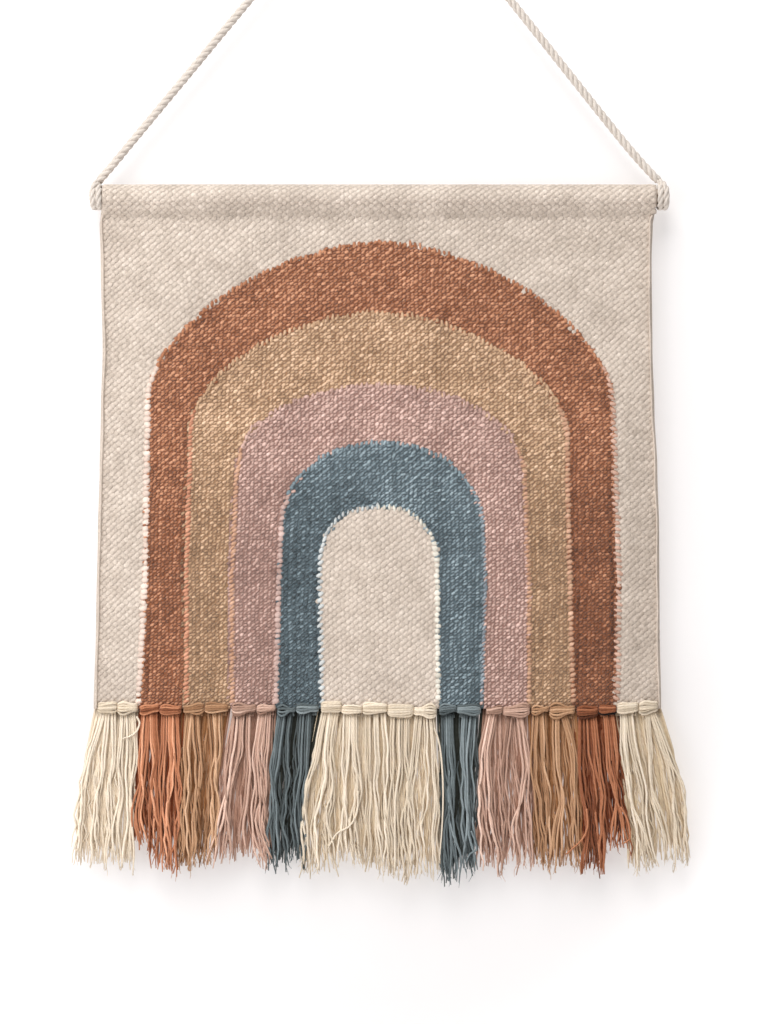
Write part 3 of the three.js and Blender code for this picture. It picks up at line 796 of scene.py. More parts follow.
def ply_group():
    """Colour and height of a plied yarn: its plies wind along the yarn's own length. Painted shade darkens
    the grooves between the plies, and a painted shade colour is mixed in where the share of light is low.
    """
    tree, given, out = new_group(
        "plied_yarn", Colour=(0.8, 0.8, 0.8, 1), Shade=(0.4, 0.4, 0.4, 1), Heather=0.3, Plies=2.0, Groove=0.3,
    )
    yarn = add_node(tree, "ShaderNodeSeparateXYZ")
    tree.links.new(add_node(tree, "ShaderNodeUVMap", uv_map="yarn").outputs[0], yarn.inputs[0])
    turn = total(tree, yarn.outputs["X"], calculate(tree, "MULTIPLY", yarn.outputs["Y"], given["Plies"]))
    wave = calculate(tree, "ABSOLUTE", calculate(tree, "SINE", calculate(tree, "MULTIPLY", turn, math.pi)))
    ridge = calculate(tree, "POWER", wave, 0.5)
    where = place(tree)
    fibre = noise(tree, where, YARN_FIBRE, 3)
    blotch = noise(tree, where, YARN_BLOTCH, 2)
    uneven = total(
        tree, off(tree, attribute(tree, "tone"), 0.5, given["Heather"]), off(tree, blotch, 0.5, 0.2),
        off(tree, fibre, 0.5, 0.25),
    )
    # painted shade in the grooves between the plies
    value = total(tree, 1.0, uneven, off(tree, ridge, 1.0, given["Groove"]))
    # mixes in the painted shade colour where the share of light is low
    mix = add_node(tree, "ShaderNodeMix", data_type="RGBA")
    for socket, source in ((0, attribute(tree, "lit_share")), (6, given["Shade"]), (7, given["Colour"])):
        tree.links.new(source, mix.inputs[socket])
    tree.links.new(tinted(tree, mix.outputs[2], value), out["Colour"])
    tree.links.new(total(tree, 0.8, calculate(tree, "MULTIPLY", fibre, 0.15)), out["Roughness"])
    tree.links.new(total(tree, ridge, calculate(tree, "MULTIPLY", fibre, 0.4)), out["Height"])
    return tree


def grain_group():
    """Colour and height of straight-grained wood along X."""
    tree, given, out = new_group("long_grain", Colour=(0.6, 0.5, 0.4, 1), Contrast=0.4)
    where = stretched(tree, place(tree), WOOD_DRAWN)
    rings = noise(tree, where, WOOD_RINGS, 4)
    pores = noise(tree, where, WOOD_PORES, 2)
    uneven = total(tree, off(tree, rings, 0.5, given["Contrast"]), off(tree, pores, 0.5, 0.25))
    tree.links.new(tinted(tree, given["Colour"], total(tree, 1.0, uneven)), out["Colour"])
    tree.links.new(total(tree, 0.45, calculate(tree, "MULTIPLY", rings, 0.2)), out["Roughness"])
    tree.links.new(total(tree, rings, pores), out["Height"])
    return tree


GROUPS = {"heathered_wool": heather_group, "plied_yarn": ply_group, "long_grain": grain_group}


def finish_material(name, group, colour, sheen=0.25, bump=0.0003, **values):
    """A material of one of the groups, with its own colour and values."""
    if name in bpy.data.materials:
        return bpy.data.materials[name]
    material = bpy.data.materials.new(name)
    material.use_nodes = True
    material.diffuse_color = (*colour, 1)
    tree = material.node_tree
    node = add_node(tree, "ShaderNodeGroup", node_tree=bpy.data.node_groups.get(group) or GROUPS[group]())
    node.inputs["Colour"].default_value = (*colour, 1)
    for key, value in values.items():
        node.inputs[key].default_value = (*value, 1) if key == "Shade" else value
    raised = add_node(tree, "ShaderNodeBump")
    raised.inputs["Strength"].default_value = 1.0
    raised.inputs["Distance"].default_value = bump
    shader = tree.nodes["Principled BSDF"]
    shader.inputs["Specular IOR Level"].default_value = 0.2
    shader.inputs["Sheen Weight"].default_value = sheen
    shader.inputs["Sheen Roughness"].default_value = 0.5
    tree.links.new(node.outputs["Height"], raised.inputs["Height"])
    tree.links.new(node.outputs["Colour"], shader.inputs["Base Color"])
    tree.links.new(node.outputs["Roughness"], shader.inputs["Roughness"])
    tree.links.new(raised.outputs[0], shader.inputs["Normal"])
    return material


# The ground between the grains is painted deeper than the yarn, as shade in the gaps: the power and the share
# of its colour
GROUND_PAINTED_SHADE = {"cream": (1, 0.9), "arches": (1.35, 0.6)}


def painted_gap_shade(colour, power, by):
    return tuple(by * c ** power for c in colour)


# Operators

# The soft lights: name, place from the picture's middle in metres, size, and share of the key's power
LIGHTS = (
    ("key", (-0.45, -1.75, 3.1), 2.1, 1),
    ("side", (-1.0, -0.65, 0.1), 1.2, 0.095),
    ("back", (0.9, 1.6, 0.5), 1.2, 0.23),
)
SENSOR = 36
FLOOR_HALF, FLOOR_DEEP = 6, 8
WALL_HALF, WALL_TOP = 5, 3
FLOOR_SHADE, WALL_SHADE = 0.9, 0.65
BACKDROP_TINT = (1, 0.97, 0.965)
WALL_LIGHT = (1, 0.985, 0.985, 1)

# The wall's own light inside and outside an oval round the picture's middle: the oval's half width
# and half height in metres, where the change begins and ends, and the strength outside it
OVAL = (0.3, 0.45)
OVAL_FROM, OVAL_TO, OUTSIDE = 0.85, 1.4, 0.72
# The strength inside it from the fringe up: heights in metres, then the strengths there
LOWER_FROM, LOWER_TO, INSIDE_LOWER, INSIDE_UPPER = -0.72, -0.6, 0.32, 0.385


class HANGING_OT_stage(Operator):
    """Camera, soft light, floor and the wall that takes the shadow"""
    bl_idname = "hanging.stage"
    bl_label = "Stage"

    def execute(self, context):
        settings = context.scene.hanging_stage
        scene = context.scene
        x, z = from_picture(IMAGE_WIDTH / 2, IMAGE_HEIGHT / 2)
        middle = Vector((x * MM, 0, z * MM))
        camera_data = bpy.data.cameras.new("camera")
        camera_data.sensor_width = SENSOR
        camera_data.lens = SENSOR * settings.camera_distance / (IMAGE_HEIGHT * PIXEL * MM)
        camera = bpy.data.objects.new("camera", camera_data)
        camera.location = middle + Vector((0, -settings.camera_distance, 0))
        camera.rotation_euler = (math.radians(90), 0, 0)
        scene.collection.objects.link(camera)
        scene.camera = camera
        scene.view_settings.view_transform = "Standard"

        world = bpy.data.worlds.new("fill")
        world.use_nodes = True
        world.node_tree.nodes["Background"].inputs["Color"].default_value = (1, 1, 1, 1)
        world.node_tree.nodes["Background"].inputs["Strength"].default_value = settings.fill
        scene.world = world

        for name, place_from_middle, size, share in LIGHTS:
            data = bpy.data.lights.new(name, "AREA")
            data.shape = "SQUARE"
            data.size = size
            data.energy = settings.key_power * share
            light = bpy.data.objects.new(name, data)
            light.location = middle + Vector(place_from_middle)
            light.rotation_euler = (middle - light.location).to_track_quat("-Z", "Y").to_euler()
            scene.collection.objects.link(light)

        level = settings.floor
        self.backdrop("floor", FLOOR_SHADE, [
            (-FLOOR_HALF, -FLOOR_DEEP, level), (FLOOR_HALF, -FLOOR_DEEP, level),
            (FLOOR_HALF, FLOOR_DEEP, level), (-FLOOR_HALF, FLOOR_DEEP, level),
        ])
        gap = settings.wall_gap
        wall = self.backdrop("wall", WALL_SHADE, [
            (-WALL_HALF, gap, level), (WALL_HALF, gap, level),
            (WALL_HALF, gap, WALL_TOP), (-WALL_HALF, gap, WALL_TOP),
        ])
        for ray in ("diffuse", "glossy", "transmission", "shadow"):
            setattr(wall, "visible_" + ray, False)
        self.light_wall(wall.active_material.node_tree)
        return {"FINISHED"}

    def backdrop(self, name, shade, corners):
        mesh = bpy.data.meshes.new(name)
        mesh.from_pydata(corners, [], [(0, 1, 2, 3)])
        backdrop = bpy.data.objects.new(name, mesh)
        bpy.context.scene.collection.objects.link(backdrop)
        material = bpy.data.materials.new(name)
        material.use_nodes = True
        shader = material.node_tree.nodes["Principled BSDF"]
        shader.inputs["Base Color"].default_value = (*(shade * tint for tint in BACKDROP_TINT), 1)
        shader.inputs["Roughness"].default_value = 0.95
        mesh.materials.append(material)
        return backdrop

    def light_wall(self, tree):
        """Gives the wall its own light, and makes it clear from behind."""
        shader = tree.nodes["Principled BSDF"]
        shader.inputs["Emission Color"].default_value = WALL_LIGHT
        tree.links.new(self.own_light(tree), shader.inputs["Emission Strength"])
        clear = tree.nodes.new("ShaderNodeBsdfTransparent")
        mix = tree.nodes.new("ShaderNodeMixShader")
        tree.links.new(tree.nodes.new("ShaderNodeNewGeometry").outputs["Backfacing"], mix.inputs[0])
        tree.links.new(shader.outputs[0], mix.inputs[1])
        tree.links.new(clear.outputs[0], mix.inputs[2])
        tree.links.new(mix.outputs[0], tree.nodes["Material Output"].inputs["Surface"])

    def own_light(self, tree):
        """The wall's own light: less behind the fringe, more towards the picture's corners."""
        x, z = from_picture(IMAGE_WIDTH / 2, IMAGE_HEIGHT / 2)
        wide, tall = OVAL
        where = place(tree)
        oval = add_node(tree, "ShaderNodeMapping")
        oval.inputs["Location"].default_value = (-x * MM / wide, 0, -z * MM / tall)
        oval.inputs["Scale"].default_value = (1 / wide, 0, 1 / tall)
        far = add_node(tree, "ShaderNodeVectorMath", operation="LENGTH")
        ramp = add_node(
            tree, "ShaderNodeMapRange", interpolation_type="SMOOTHSTEP",
            in_1=OVAL_FROM, in_2=OVAL_TO, in_4=OUTSIDE,
        )
        height = add_node(tree, "ShaderNodeSeparateXYZ")
        inside = add_node(
            tree, "ShaderNodeMapRange", interpolation_type="SMOOTHSTEP",
            in_1=LOWER_FROM, in_2=LOWER_TO, in_3=INSIDE_LOWER, in_4=INSIDE_UPPER,
        )
        tree.links.new(where, height.inputs[0])
        tree.links.new(height.outputs["Z"], inside.inputs["Value"])
        tree.links.new(inside.outputs[0], ramp.inputs["To Min"])
        tree.links.new(where, oval.inputs["Vector"])
        tree.links.new(oval.outputs[0], far.inputs[0])
        tree.links.new(far.outputs["Value"], ramp.inputs["Value"])
        return ramp.outputs[0]


def cord_material(context):
    return finish_material(
        "cord_cotton", "plied_yarn", context.scene.hanging_colours.cord, sheen=0.2, bump=0.00015,
        Heather=0.1, Plies=3.0, Groove=0.06,
    )


class HANGING_OT_cord(Operator):
    """The twisted cord from the left hitch over the peg to the right hitch"""
    bl_idname = "hanging.cord"
    bl_label = "Hanging Cord"

    def execute(self, context):
        settings = context.scene.hanging_cord
        route = np.stack([CORD_ROUTE[:, 0], np.zeros(len(CORD_ROUTE)), CORD_ROUTE[:, 1]], axis=1)
        line, run = even_line(smooth_line(route, CORD_SMOOTH), CORD_STEP)
        heap = Heap()
        heap.add(*strands_round(line, run, settings.diameter / MM, settings, (0, 1, 0)))
        piece = heap.piece("cord_twisted", cord_material(context))
        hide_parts("hanging_cord")
        return {"FINISHED"}


def hitch_line(side):
    """The cord's line from a leg's foot round the end of the rod: over the outer side, then the inner."""
    foot_x, foot_z = CORD_ROUTE[0 if side == "left" else -1]
    outer, inner = HITCH_TURNS_AT[side]
    points = [(foot_x, 0, foot_z), (lerp(foot_x, outer, 0.55), -3.6, foot_z - 2.6)]
    for angle in np.arange(math.radians(HITCH_FROM), HITCH_TURNS * 2 * math.pi, math.radians(HITCH_EACH)):
        x = lerp(outer, inner, float(smooth(angle, *map(math.radians, HITCH_CROSSING))))
        points.append((x, -HITCH_RADIUS * math.sin(angle), ROD_AXIS_Z + HITCH_RADIUS * math.cos(angle)))
    return smooth_line(np.array(points, float), HITCH_SMOOTH)


class HANGING_OT_hitches(Operator):
    """The cord's turns round both ends of the rod"""
    bl_idname = "hanging.hitches"
    bl_label = "Hitches"

    def execute(self, context):
        settings = context.scene.hanging_cord
        for side in HITCH_TURNS_AT:
            line, run = even_line(hitch_line(side), HITCH_STEP)
            heap = Heap()
            heap.add(*strands_round(line, run, HITCH_ROPE, settings, (1, 0, 0)))
            piece = heap.piece("hitch_turns_" + side, cord_material(context))
            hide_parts("hitch_" + side)
        return {"FINISHED"}


class HANGING_OT_rod(Operator):
    """The round wooden rod with eased ends"""
    bl_idname = "hanging.rod"
    bl_label = "Rod"

    def execute(self, context):
        low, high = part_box("rod")
        bpy.ops.object.select_all(action="DESELECT")
        bpy.ops.mesh.primitive_cylinder_add(
            vertices=ROD_SIDES, radius=(high[2] - low[2]) / 2, depth=high[0] - low[0],
            location=[(a + b) / 2 for a, b in zip(low, high)], rotation=(0, math.radians(90), 0),
        )
        piece = context.object
        piece.name = "rod_dowel"
        piece.data.name = "rod_dowel"
        bpy.ops.object.transform_apply(location=True, rotation=True, scale=True)
        bevel = piece.modifiers.new("eased_ends", "BEVEL")
        bevel.width = ROD_EASING * MM
        bevel.segments = 3
        bevel.limit_method = "ANGLE"
        bpy.ops.object.modifier_apply(modifier=bevel.name)
        bpy.ops.object.shade_smooth_by_angle(angle=math.radians(30))
        piece.data.materials.append(
            finish_material(
                "rod_wood", "long_grain", context.scene.hanging_colours.wood,
                sheen=0, bump=0.0001, Contrast=0.5,
            )
        )
        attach(piece, "root")
        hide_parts("rod")
        return {"FINISHED"}


def weave_rows(side, settings):
    """The grains' places on a side of the cloth: across, along its line, height, row and column."""
    row = settings.row / MM
    rows = np.arange(int((side.length - 1.0) / row))
    r, c = (a.ravel() for a in np.meshgrid(rows, np.arange(settings.columns), indexing="ij"))
    s = (r + 0.5) * row + FIRST_ROW
    _, z = side.at(s)
    left, right = edges_at(z)
    u = 2 * c / (settings.columns - 1) - 1
    margin = lerp(MARGIN_SLEEVE, MARGIN, smooth(SEAM_Z + 6 - z, 0, 12))
    x = (left + right) / 2 + (right - left - 2 * margin) / 2 * u * (1 + CROWDED - CROWDED * u * u)
    return x, s, z, r, c


def grain_tones(x, z, r, c, which, in_leg, random):
    """The grains' tones: by column, by row and their own, by leg, darker with painted shade under the
    seam, beside the joins and by the cream field's right edge, and lighter with painted light over the
    sleeve.
    """
    streak = random.normal(0, STREAK, c.max() + 1)[c] * (0.4 + in_leg)
    course = random.normal(0, COURSE, r.max() + 1)[r]
    dye = np.clip(streak + course + random.normal(0, 1, len(x)), *DYE_RANGE)
    uneven = np.array([GRAINS[yarn]["uneven"] for yarn in YARNS])[which]
    legs = np.array([(0, 0)] + [(arch["left_tone"], arch["right_tone"]) for arch in ARCHES[:-1]])
    # painted shade under the seam and beside the joins; in the cream field, painted shade by the right edge
    # and painted light over the sleeve
    painted_shading = np.maximum(SEAM_PAINTED_SHADE * painted_seam_shade(z), JOIN_PAINTED_SHADE * painted_shade_beside_joins(x, z) * (which > 0))
    painted_edge_shade = EDGE_PAINTED_SHADE * smooth(x, *PAINTED_SHADE_EDGE_X) * smooth(-z, *PAINTED_SHADE_EDGE_DOWN)
    painted_shading = painted_shading + (which == 0) * (painted_edge_shade - SLEEVE_PAINTED_LIGHT * smooth(z, SEAM_Z, SEAM_Z + 8))
    return 0.5 + uneven * dye + in_leg * legs[which, (x > 0) * 1] - painted_shading


def grain_sizes(which, rib, in_leg, grain_height, random):
    """The grains' lengths, widths, heights and turns, for ribs and for the knots between them."""
    kind = {key: np.array([GRAINS[yarn][key] for yarn in YARNS])[which] for key in GRAIN_COLUMNS}
    n = len(which)
    tight = 1 - LEG_TIGHTER * in_leg
    length = np.where(rib, kind["length"] * tight, KNOT_LENGTH) * random.normal(1, 0.08, n)
    width = np.where(rib, kind["width"] * tight, KNOT_WIDTH) * random.normal(1, 0.1, n)
    knot_height = np.where(rib, 1, KNOT_HEIGHT + LEG_KNOTS * in_leg)
    height = grain_height * kind["height"] * knot_height * random.normal(1, 0.15, n)
    turn = np.radians(kind["turn"] + LEG_TURN * in_leg) + random.normal(0, 0.1, n) * (1 + (which > 0))
    return length, width, height, turn


def slow_waves(waves, x, z):
    return [size * np.sin(x / across + z / up + phase) for size, across, up, phase in waves]


class HANGING_OT_cloth(Operator):
    """The panel's cloth, turned over the rod and sewn down, under its weave"""
    bl_idname = "hanging.cloth"
    bl_label = "Cloth"

    def execute(self, context):
        colours = context.scene.hanging_colours
        inner_line = (
            straight((0, HEM_Z), (0, SEAM_Z + END_CLEAR), CLOTH_ROWS)
            + sleeve_arc(SLEEVE_INNER)
            + [(FOLD_GAP, SEAM_Z + END_CLEAR), (FOLD_GAP, SEAM_Z - TURNED_HEM)]
        )
        outer, inner = FRONT.points, np.array(inner_line)
        if len(outer) != len(inner):
            raise RuntimeError("the two faces of the cloth have different numbers of rows")
        columns = context.scene.hanging_weave.columns
        share = np.linspace(0, 1, columns + 1)

        def sheet_points(line):
            left, right = edges_at(line[:, 1])
            x = left[:, None] + (right - left)[:, None] * share[None, :]
            z = np.broadcast_to(line[:, 1][:, None], x.shape)
            return np.stack([x, line[:, 0][:, None] + sway(x, z), z], axis=-1)

        points = np.stack([sheet_points(outer), sheet_points(inner)])
        n, m = len(outer), columns + 1
        at = np.arange(2 * n * m).reshape(2, n, m)
        faces = []

        def quads(a, b, c, d):
            faces.append(np.stack([x.ravel() for x in (a, b, c, d)], axis=1))

        quads(at[0, :-1, :-1], at[0, :-1, 1:], at[0, 1:, 1:], at[0, 1:, :-1])
        quads(at[1, :-1, :-1], at[1, 1:, :-1], at[1, 1:, 1:], at[1, :-1, 1:])
        quads(at[0, :-1, 0], at[0, 1:, 0], at[1, 1:, 0], at[1, :-1, 0])
        quads(at[0, :-1, -1], at[1, :-1, -1], at[1, 1:, -1], at[0, 1:, -1])
        quads(at[0, 0, :-1], at[1, 0, :-1], at[1, 0, 1:], at[0, 0, 1:])
        quads(at[0, -1, :-1], at[0, -1, 1:], at[1, -1, 1:], at[1, -1, :-1])
        faces = np.concatenate(faces)
        flat = points.reshape(-1, 3)
        centres = flat[faces].mean(axis=1)
        which = yarn_at(centres[:, 0], centres[:, 2], 0.0)
        # the ground takes each yarn's colour darkened as painted shade in the gaps between the grains
        materials = [
            finish_material(
                "ground_" + yarn, "heathered_wool",
                painted_gap_shade(getattr(colours, yarn), *GROUND_PAINTED_SHADE["cream" if yarn == "cream" else "arches"]),
                Heather=0.2, Furrow=0.0,
            )
            for yarn in YARNS
        ]
        piece = mesh_piece(
            "panel_cloth", flat, faces.ravel(), np.full(len(faces), 4), materials,
            tone=np.full(len(flat), 0.5), lit_share=np.ones(len(flat)), face_material=which,
        )
        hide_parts("woven_panel")
        return {"FINISHED"}


class HANGING_OT_weave(Operator):
    """The grains of the weave on both sides of the cloth, one piece for each yarn"""
    bl_idname = "hanging.weave"
    bl_label = "Weave"

    def execute(self, context):
        settings = context.scene.hanging_weave
        random = np.random.default_rng(SEED)
        for label, side in (("front", FRONT), ("back", BACK)):
            x, s, z, r, c = weave_rows(side, settings)
            n = len(x)
            tooth = np.where((r // 2) % 2, TOOTH, -TOOTH) + random.uniform(-TOOTH_VARIES, TOOTH_VARIES, n)
            which = yarn_at(x, z, tooth)
            rib = (r + c) % 2 == 0
            in_leg = smooth(-z, -LEG_WEAVE_STARTS, -LEG_WEAVE_WHOLE) * (which > 0)
            tone = grain_tones(x, z, r, c, which, in_leg, random)
            length, width, height, turn = grain_sizes(which, rib, in_leg, settings.grain_height / MM, random)
            away = smooth(np.minimum(s, side.length - s), 0, 12)
            s = s + away * sum(slow_waves(ROW_WAVES, x, z)) + random.normal(0, 0.22, n)
            x = sum(slow_waves(COLUMN_WAVES, x, z), x) + random.normal(0, 0.28, n)
            for index, yarn in enumerate(YARNS):
                heap = Heap()
                moulds = [(grain() if label == "front" else knot(), rib)]
                if index and label == "front":
                    moulds.append((knot(), ~rib))
                for mould, chosen in moulds:
                    own = (which == index) & chosen
                    grains = (v[own] for v in (x, s, length, width, height, turn, tone))
                    heap.add(*mounds_on(side, mould, *grains))
                piece = heap.piece("weave_" + label + "_" + yarn, finish_material(
                    "wool_" + yarn, "heathered_wool", getattr(context.scene.hanging_colours, yarn),
                    Heather=0.5, Furrow=GRAINS[yarn]["furrow_shade"],
                ))
        return {"FINISHED"}


def stitches(join, label, random):
    """The stitches along one side of an arch: their places, sizes, slants and tones, and which of them
    are over its top."""
    arch = ARCHES[join["arch"]]
    left = join["hand"] == "left"
    line, run = even_line(arch_line(arch), LINE_STEP)
    along = np.gradient(line, axis=0)
    along /= np.linalg.norm(along, axis=1, keepdims=True)
    half = (line[:, 0] < arch["centre"]) == left
    line, run, along = line[half], run[half], along[half]
    top = smooth(np.abs(along[:, 0]), *TOP_SLOPE)
    count = np.cumsum(np.gradient(run) / lerp(join["step"], TOP_STEP, top))
    at = np.searchsorted(count, np.arange(count[0], count[-1]))
    line, along, top = line[at], along[at], top[at]
    n = len(at)

    inward = join["inward"] * (1 - top) * (1 if left else -1)
    outward = random.normal(0, 0.3, n) + top * np.repeat(random.normal(0, 0.7, n), 3)[:n]
    x, z = line[:, 0] + inward - along[:, 2] * outward, line[:, 2] + along[:, 0] * outward
    s = z - HEM_Z if label == "front" else SEAM_Z - TURNED_HEM - z
    radial = np.arctan2(-along[:, 0] * np.sign(along[:, 2]), -np.abs(along[:, 2])) + np.pi
    slant = radial + (1 - top) * (math.radians(join["slant"]) + random.normal(0, 0.12, n))
    slant = slant + TOP_STEEPER * 4 * (along[:, 0] * along[:, 2]) ** 2 * np.sign(along[:, 2])
    length = lerp(join["length"], TOP_LENGTH, top) * random.normal(1, 0.12 + 0.1 * top, n)
    width = lerp(join["width"], TOP_WIDTH, top) * random.normal(1, 0.1, n)
    height, tone = random.normal(JOIN_HEIGHT, 0.14, n), random.normal(0.5 - 0.3 * top, 0.25)
    return (x, s, length, width, height, slant if label == "front" else -slant, tone), top > OVER_TOP


def rolled_edges(side, reach, random):
    """The rolled side edges of the panel along a side of the cloth."""
    s = np.arange(END_CLEAR, reach - END_CLEAR, EDGE_STEP)
    _, z = side.at(s)
    for x in (edges_at(z)[0] + EDGE_RADIUS, edges_at(z)[1] - EDGE_RADIUS):
        rolled = side.place(x + 0.25 * np.sin(z / 11) + random.normal(0, 0.06, len(s)), s, 0.1)
        radius = EDGE_RADIUS + 0.12 * np.sin(z / 7)
        yield tubes(rolled[None], radius[None], 8, (1, 0, 0), 0.5, flatten=0.4)


class HANGING_OT_joins(Operator):
    """The raised stitches where one arch meets the next, and the rolled side edges"""
    bl_idname = "hanging.joins"
    bl_label = "Joins and Edges"

    def execute(self, context):
        colours = context.scene.hanging_colours
        random = np.random.default_rng(SEED + 1)
        stitch = mound(8, JOIN_RINGS)
        heaps = {}
        for label, side, reach in (("front", FRONT, SEAM_Z - HEM_Z + 3), ("back", BACK, BACK.length)):
            for join in JOINS:
                places, top = stitches(join, label, random)
                last = join["arch"] == len(ARCHES) - 1
                over_yarn = YARNS[0 if last else join["arch"] + 1]
                over = top & (not last)
                for yarn, own in ((join["yarn"], ~over), (over_yarn, over)):
                    if own.any():
                        heap = heaps.setdefault((label, yarn), Heap())
                        heap.add(*mounds_on(side, stitch, *(v[own] for v in places)))
            edge = heaps.setdefault((label, "edge"), Heap())
            for rolled in rolled_edges(side, reach, random):
                edge.add(*rolled)
        for (label, yarn), heap in heaps.items():
            colour = colours.cream if yarn == "edge" else getattr(colours, yarn)
            material = finish_material("join_" + yarn, "heathered_wool", colour, Heather=0.3, Furrow=0.3)
            piece = heap.piece("joins_" + label + "_" + yarn, material)
        return {"FINISHED"}


# A tassel's head: the height of head to one yarn across its front, the width to one behind, the
# tubes' points, and how far past its sides a tassel goes
HEAD_YARN, HEAD_YARN_BEHIND = 1.9, 2.4
HEAD_POINTS, HEAD_POINTS_BEHIND = 15, 9
HEAD_YARN_RADIUS = 1.15
SIDE_SPARE = 0.3
HEAD_VARIES = ((1.3, 0.9), (0.6, 0.9), (0, 0.6))  # mean and spread of a head's tilt, twist and bow
HEAD_NARROW, HEAD_WAVY = 0.55, 0.14  # its height at the sides, and the yarns' waves up and down
HEAD_CLEAR, HEAD_PROUD = 0.4, 2.3  # its distance from the cloth, and how far it stands out in the middle
PLUMP, PLUMP_ROOT = 3.6, 0.5  # powers of its outline from side to side


def head_yarns(row, tall, low, random):
    """The yarns laid across the front of a tassel's head."""
    count = max(4, round(tall / HEAD_YARN))
    t = np.linspace(0, 1, HEAD_POINTS)
    plump = (1 - np.abs(2 * t - 1) ** PLUMP) ** PLUMP_ROOT
    tilt, twist, bow = (random.normal(*varies) for varies in HEAD_VARIES)
    x = lerp(row["left"] - SIDE_SPARE, row["right"] + SIDE_SPARE, t)
    paths = []
    for i in range(count):
        level = 2 * (i + 0.5) / count - 1
        spread = lerp(HEAD_NARROW, 1.0, plump) * (1 + HEAD_WAVY * np.sin(4 * t + random.uniform(0, 6)))
        z = low + tall * (0.5 + 0.44 * level * spread)
        z = z + tilt * (t - 0.5) + twist * level * np.sin(2 * np.pi * t) + bow * plump
        proud = HEAD_PROUD * plump * (1 - 0.5 * level ** 2)
        y = -CLOTH - HEAD_CLEAR - proud + random.normal(0, 0.3) * plump + sway(x, HEM_Z)
        paths.append(np.stack([x, y, z], axis=1))
    radius = tall / count / 2 * 1.1 * random.normal(1, 0.1, (count, 1)) * lerp(0.7, 1.0, plump)
    tone = row["head"] + random.normal(0, 0.2, count)
    # each yarn takes a random share of the painted shade colour
    return tubes(paths, radius, 7, (0, 0, 1), tone, twist=HEAD_TWIST, lit_share=random.uniform(0.65, 1.0, count))


def head_yarns_behind(row, low, random):
    """The upright yarns of a tassel's head behind the cloth."""
    count = max(4, round((row["right"] - row["left"]) / HEAD_YARN_BEHIND))
    u = np.linspace(0, 1, HEAD_POINTS_BEHIND)
    z = lerp(HEM_Z + row["over"] * 0.85, low - 1.5, u)
    paths = []
    for i in range(count):
        x = lerp(row["left"] + 1.2, row["right"] - 1.2, (i + 0.5) / count) + random.normal(0, 0.2)
        bulge = 1.7 * np.sin(np.pi * np.clip(u * 1.25, 0, 1)) ** 0.7
        y = 0.5 + bulge - 1.2 * smooth(u, 0.8, 1) + sway(x, HEM_Z)
        paths.append(np.stack([x + 0.5 * np.sin(3 * u + i), y, z], axis=1))
    tone = 0.5 + random.normal(0, 0.15, count)
    # these take a share of the painted shade colour
    return tubes(paths, HEAD_YARN_RADIUS, 6, (1, 0, 0), tone, twist=HEAD_TWIST, lit_share=0.7)


def yarn_waves(z, count, size, t, random):
    """Small waves to the side and to the front for each of a number of yarns."""
    phase, long = random.uniform(0, ANY_PHASE, (count, 1)), random.uniform(22, 48, (count, 1))
    small = size * random.uniform(0.4, 1.4, (count, 1)) * smooth(t, 0.0, 0.4) * lerp(0.6, 1.3, t)
    return small * np.sin(2 * np.pi * z / long + phase), small * np.cos(2 * np.pi * z / long + phase)


def yarns_behind(row, count, radius, wander, random):
    """The even layers behind a tassel's locks: darker in the middle with painted shade, the front third
    looser.
    """
    t = np.linspace(0, 1, 14)[None, :]
    share = ((random.permutation(count) + random.uniform(0.2, 0.8, count)) / count)[:, None]
    depth = np.linspace(0, 1, count)[:, None]
    loose = 1 - smooth(depth, 0.2, 0.4)
    rear = smooth(depth, 0.65, 0.9)
    foot = HEM_Z - row["under"]
    length = lerp(row["short"] - 10, row["long"] - 2, random.uniform(0, 1, (count, 1)) ** 0.7)
    z = lerp(HEM_Z + 1, foot - length, t)
    inset = lerp(-3.2, 1.2, loose)
    root = lerp(row["left"] + inset, row["right"] - inset, share)
    tip_share = np.clip(share + random.normal(0, 0.05, (count, 1)), 0, 1)
    tip = lerp(row["tip_left"] - SIDE_SPARE, row["tip_right"] + SIDE_SPARE, tip_share)
    aside, ahead = yarn_waves(z, count, wander * lerp(0.7, 2.0, loose), t, random)
    x = lerp(root, tip, 1 - (1 - t) ** 1.6) + aside
    y = -CLOTH / 2 + sway(root, HEM_Z) + 3.2 * (1 - smooth(t, 0, 0.15)) + depth * lerp(1.5, 3.6, t) + ahead
    tone = 0.5 + row["tone"] + random.normal(0, 0.08, (count, 1)) + 0.12 * smooth(t, 0.85, 1)
    # painted shade: the middle layers take the shade colour; the front third, the rearmost layers, light
    # tassels and the tips take less of it
    lit_share = np.clip(0.5 * loose + 0.6 * rear + 2 * max(0, row["tone"]) + 0.25 * smooth(t, 0.8, 1), 0, 1)
    girth = radius * lerp(1.25, 0.9, loose) * lerp(1, 0.35, smooth(t, 0.82, 1))
    return np.stack([x, y, z], axis=-1), girth, tone, lit_share


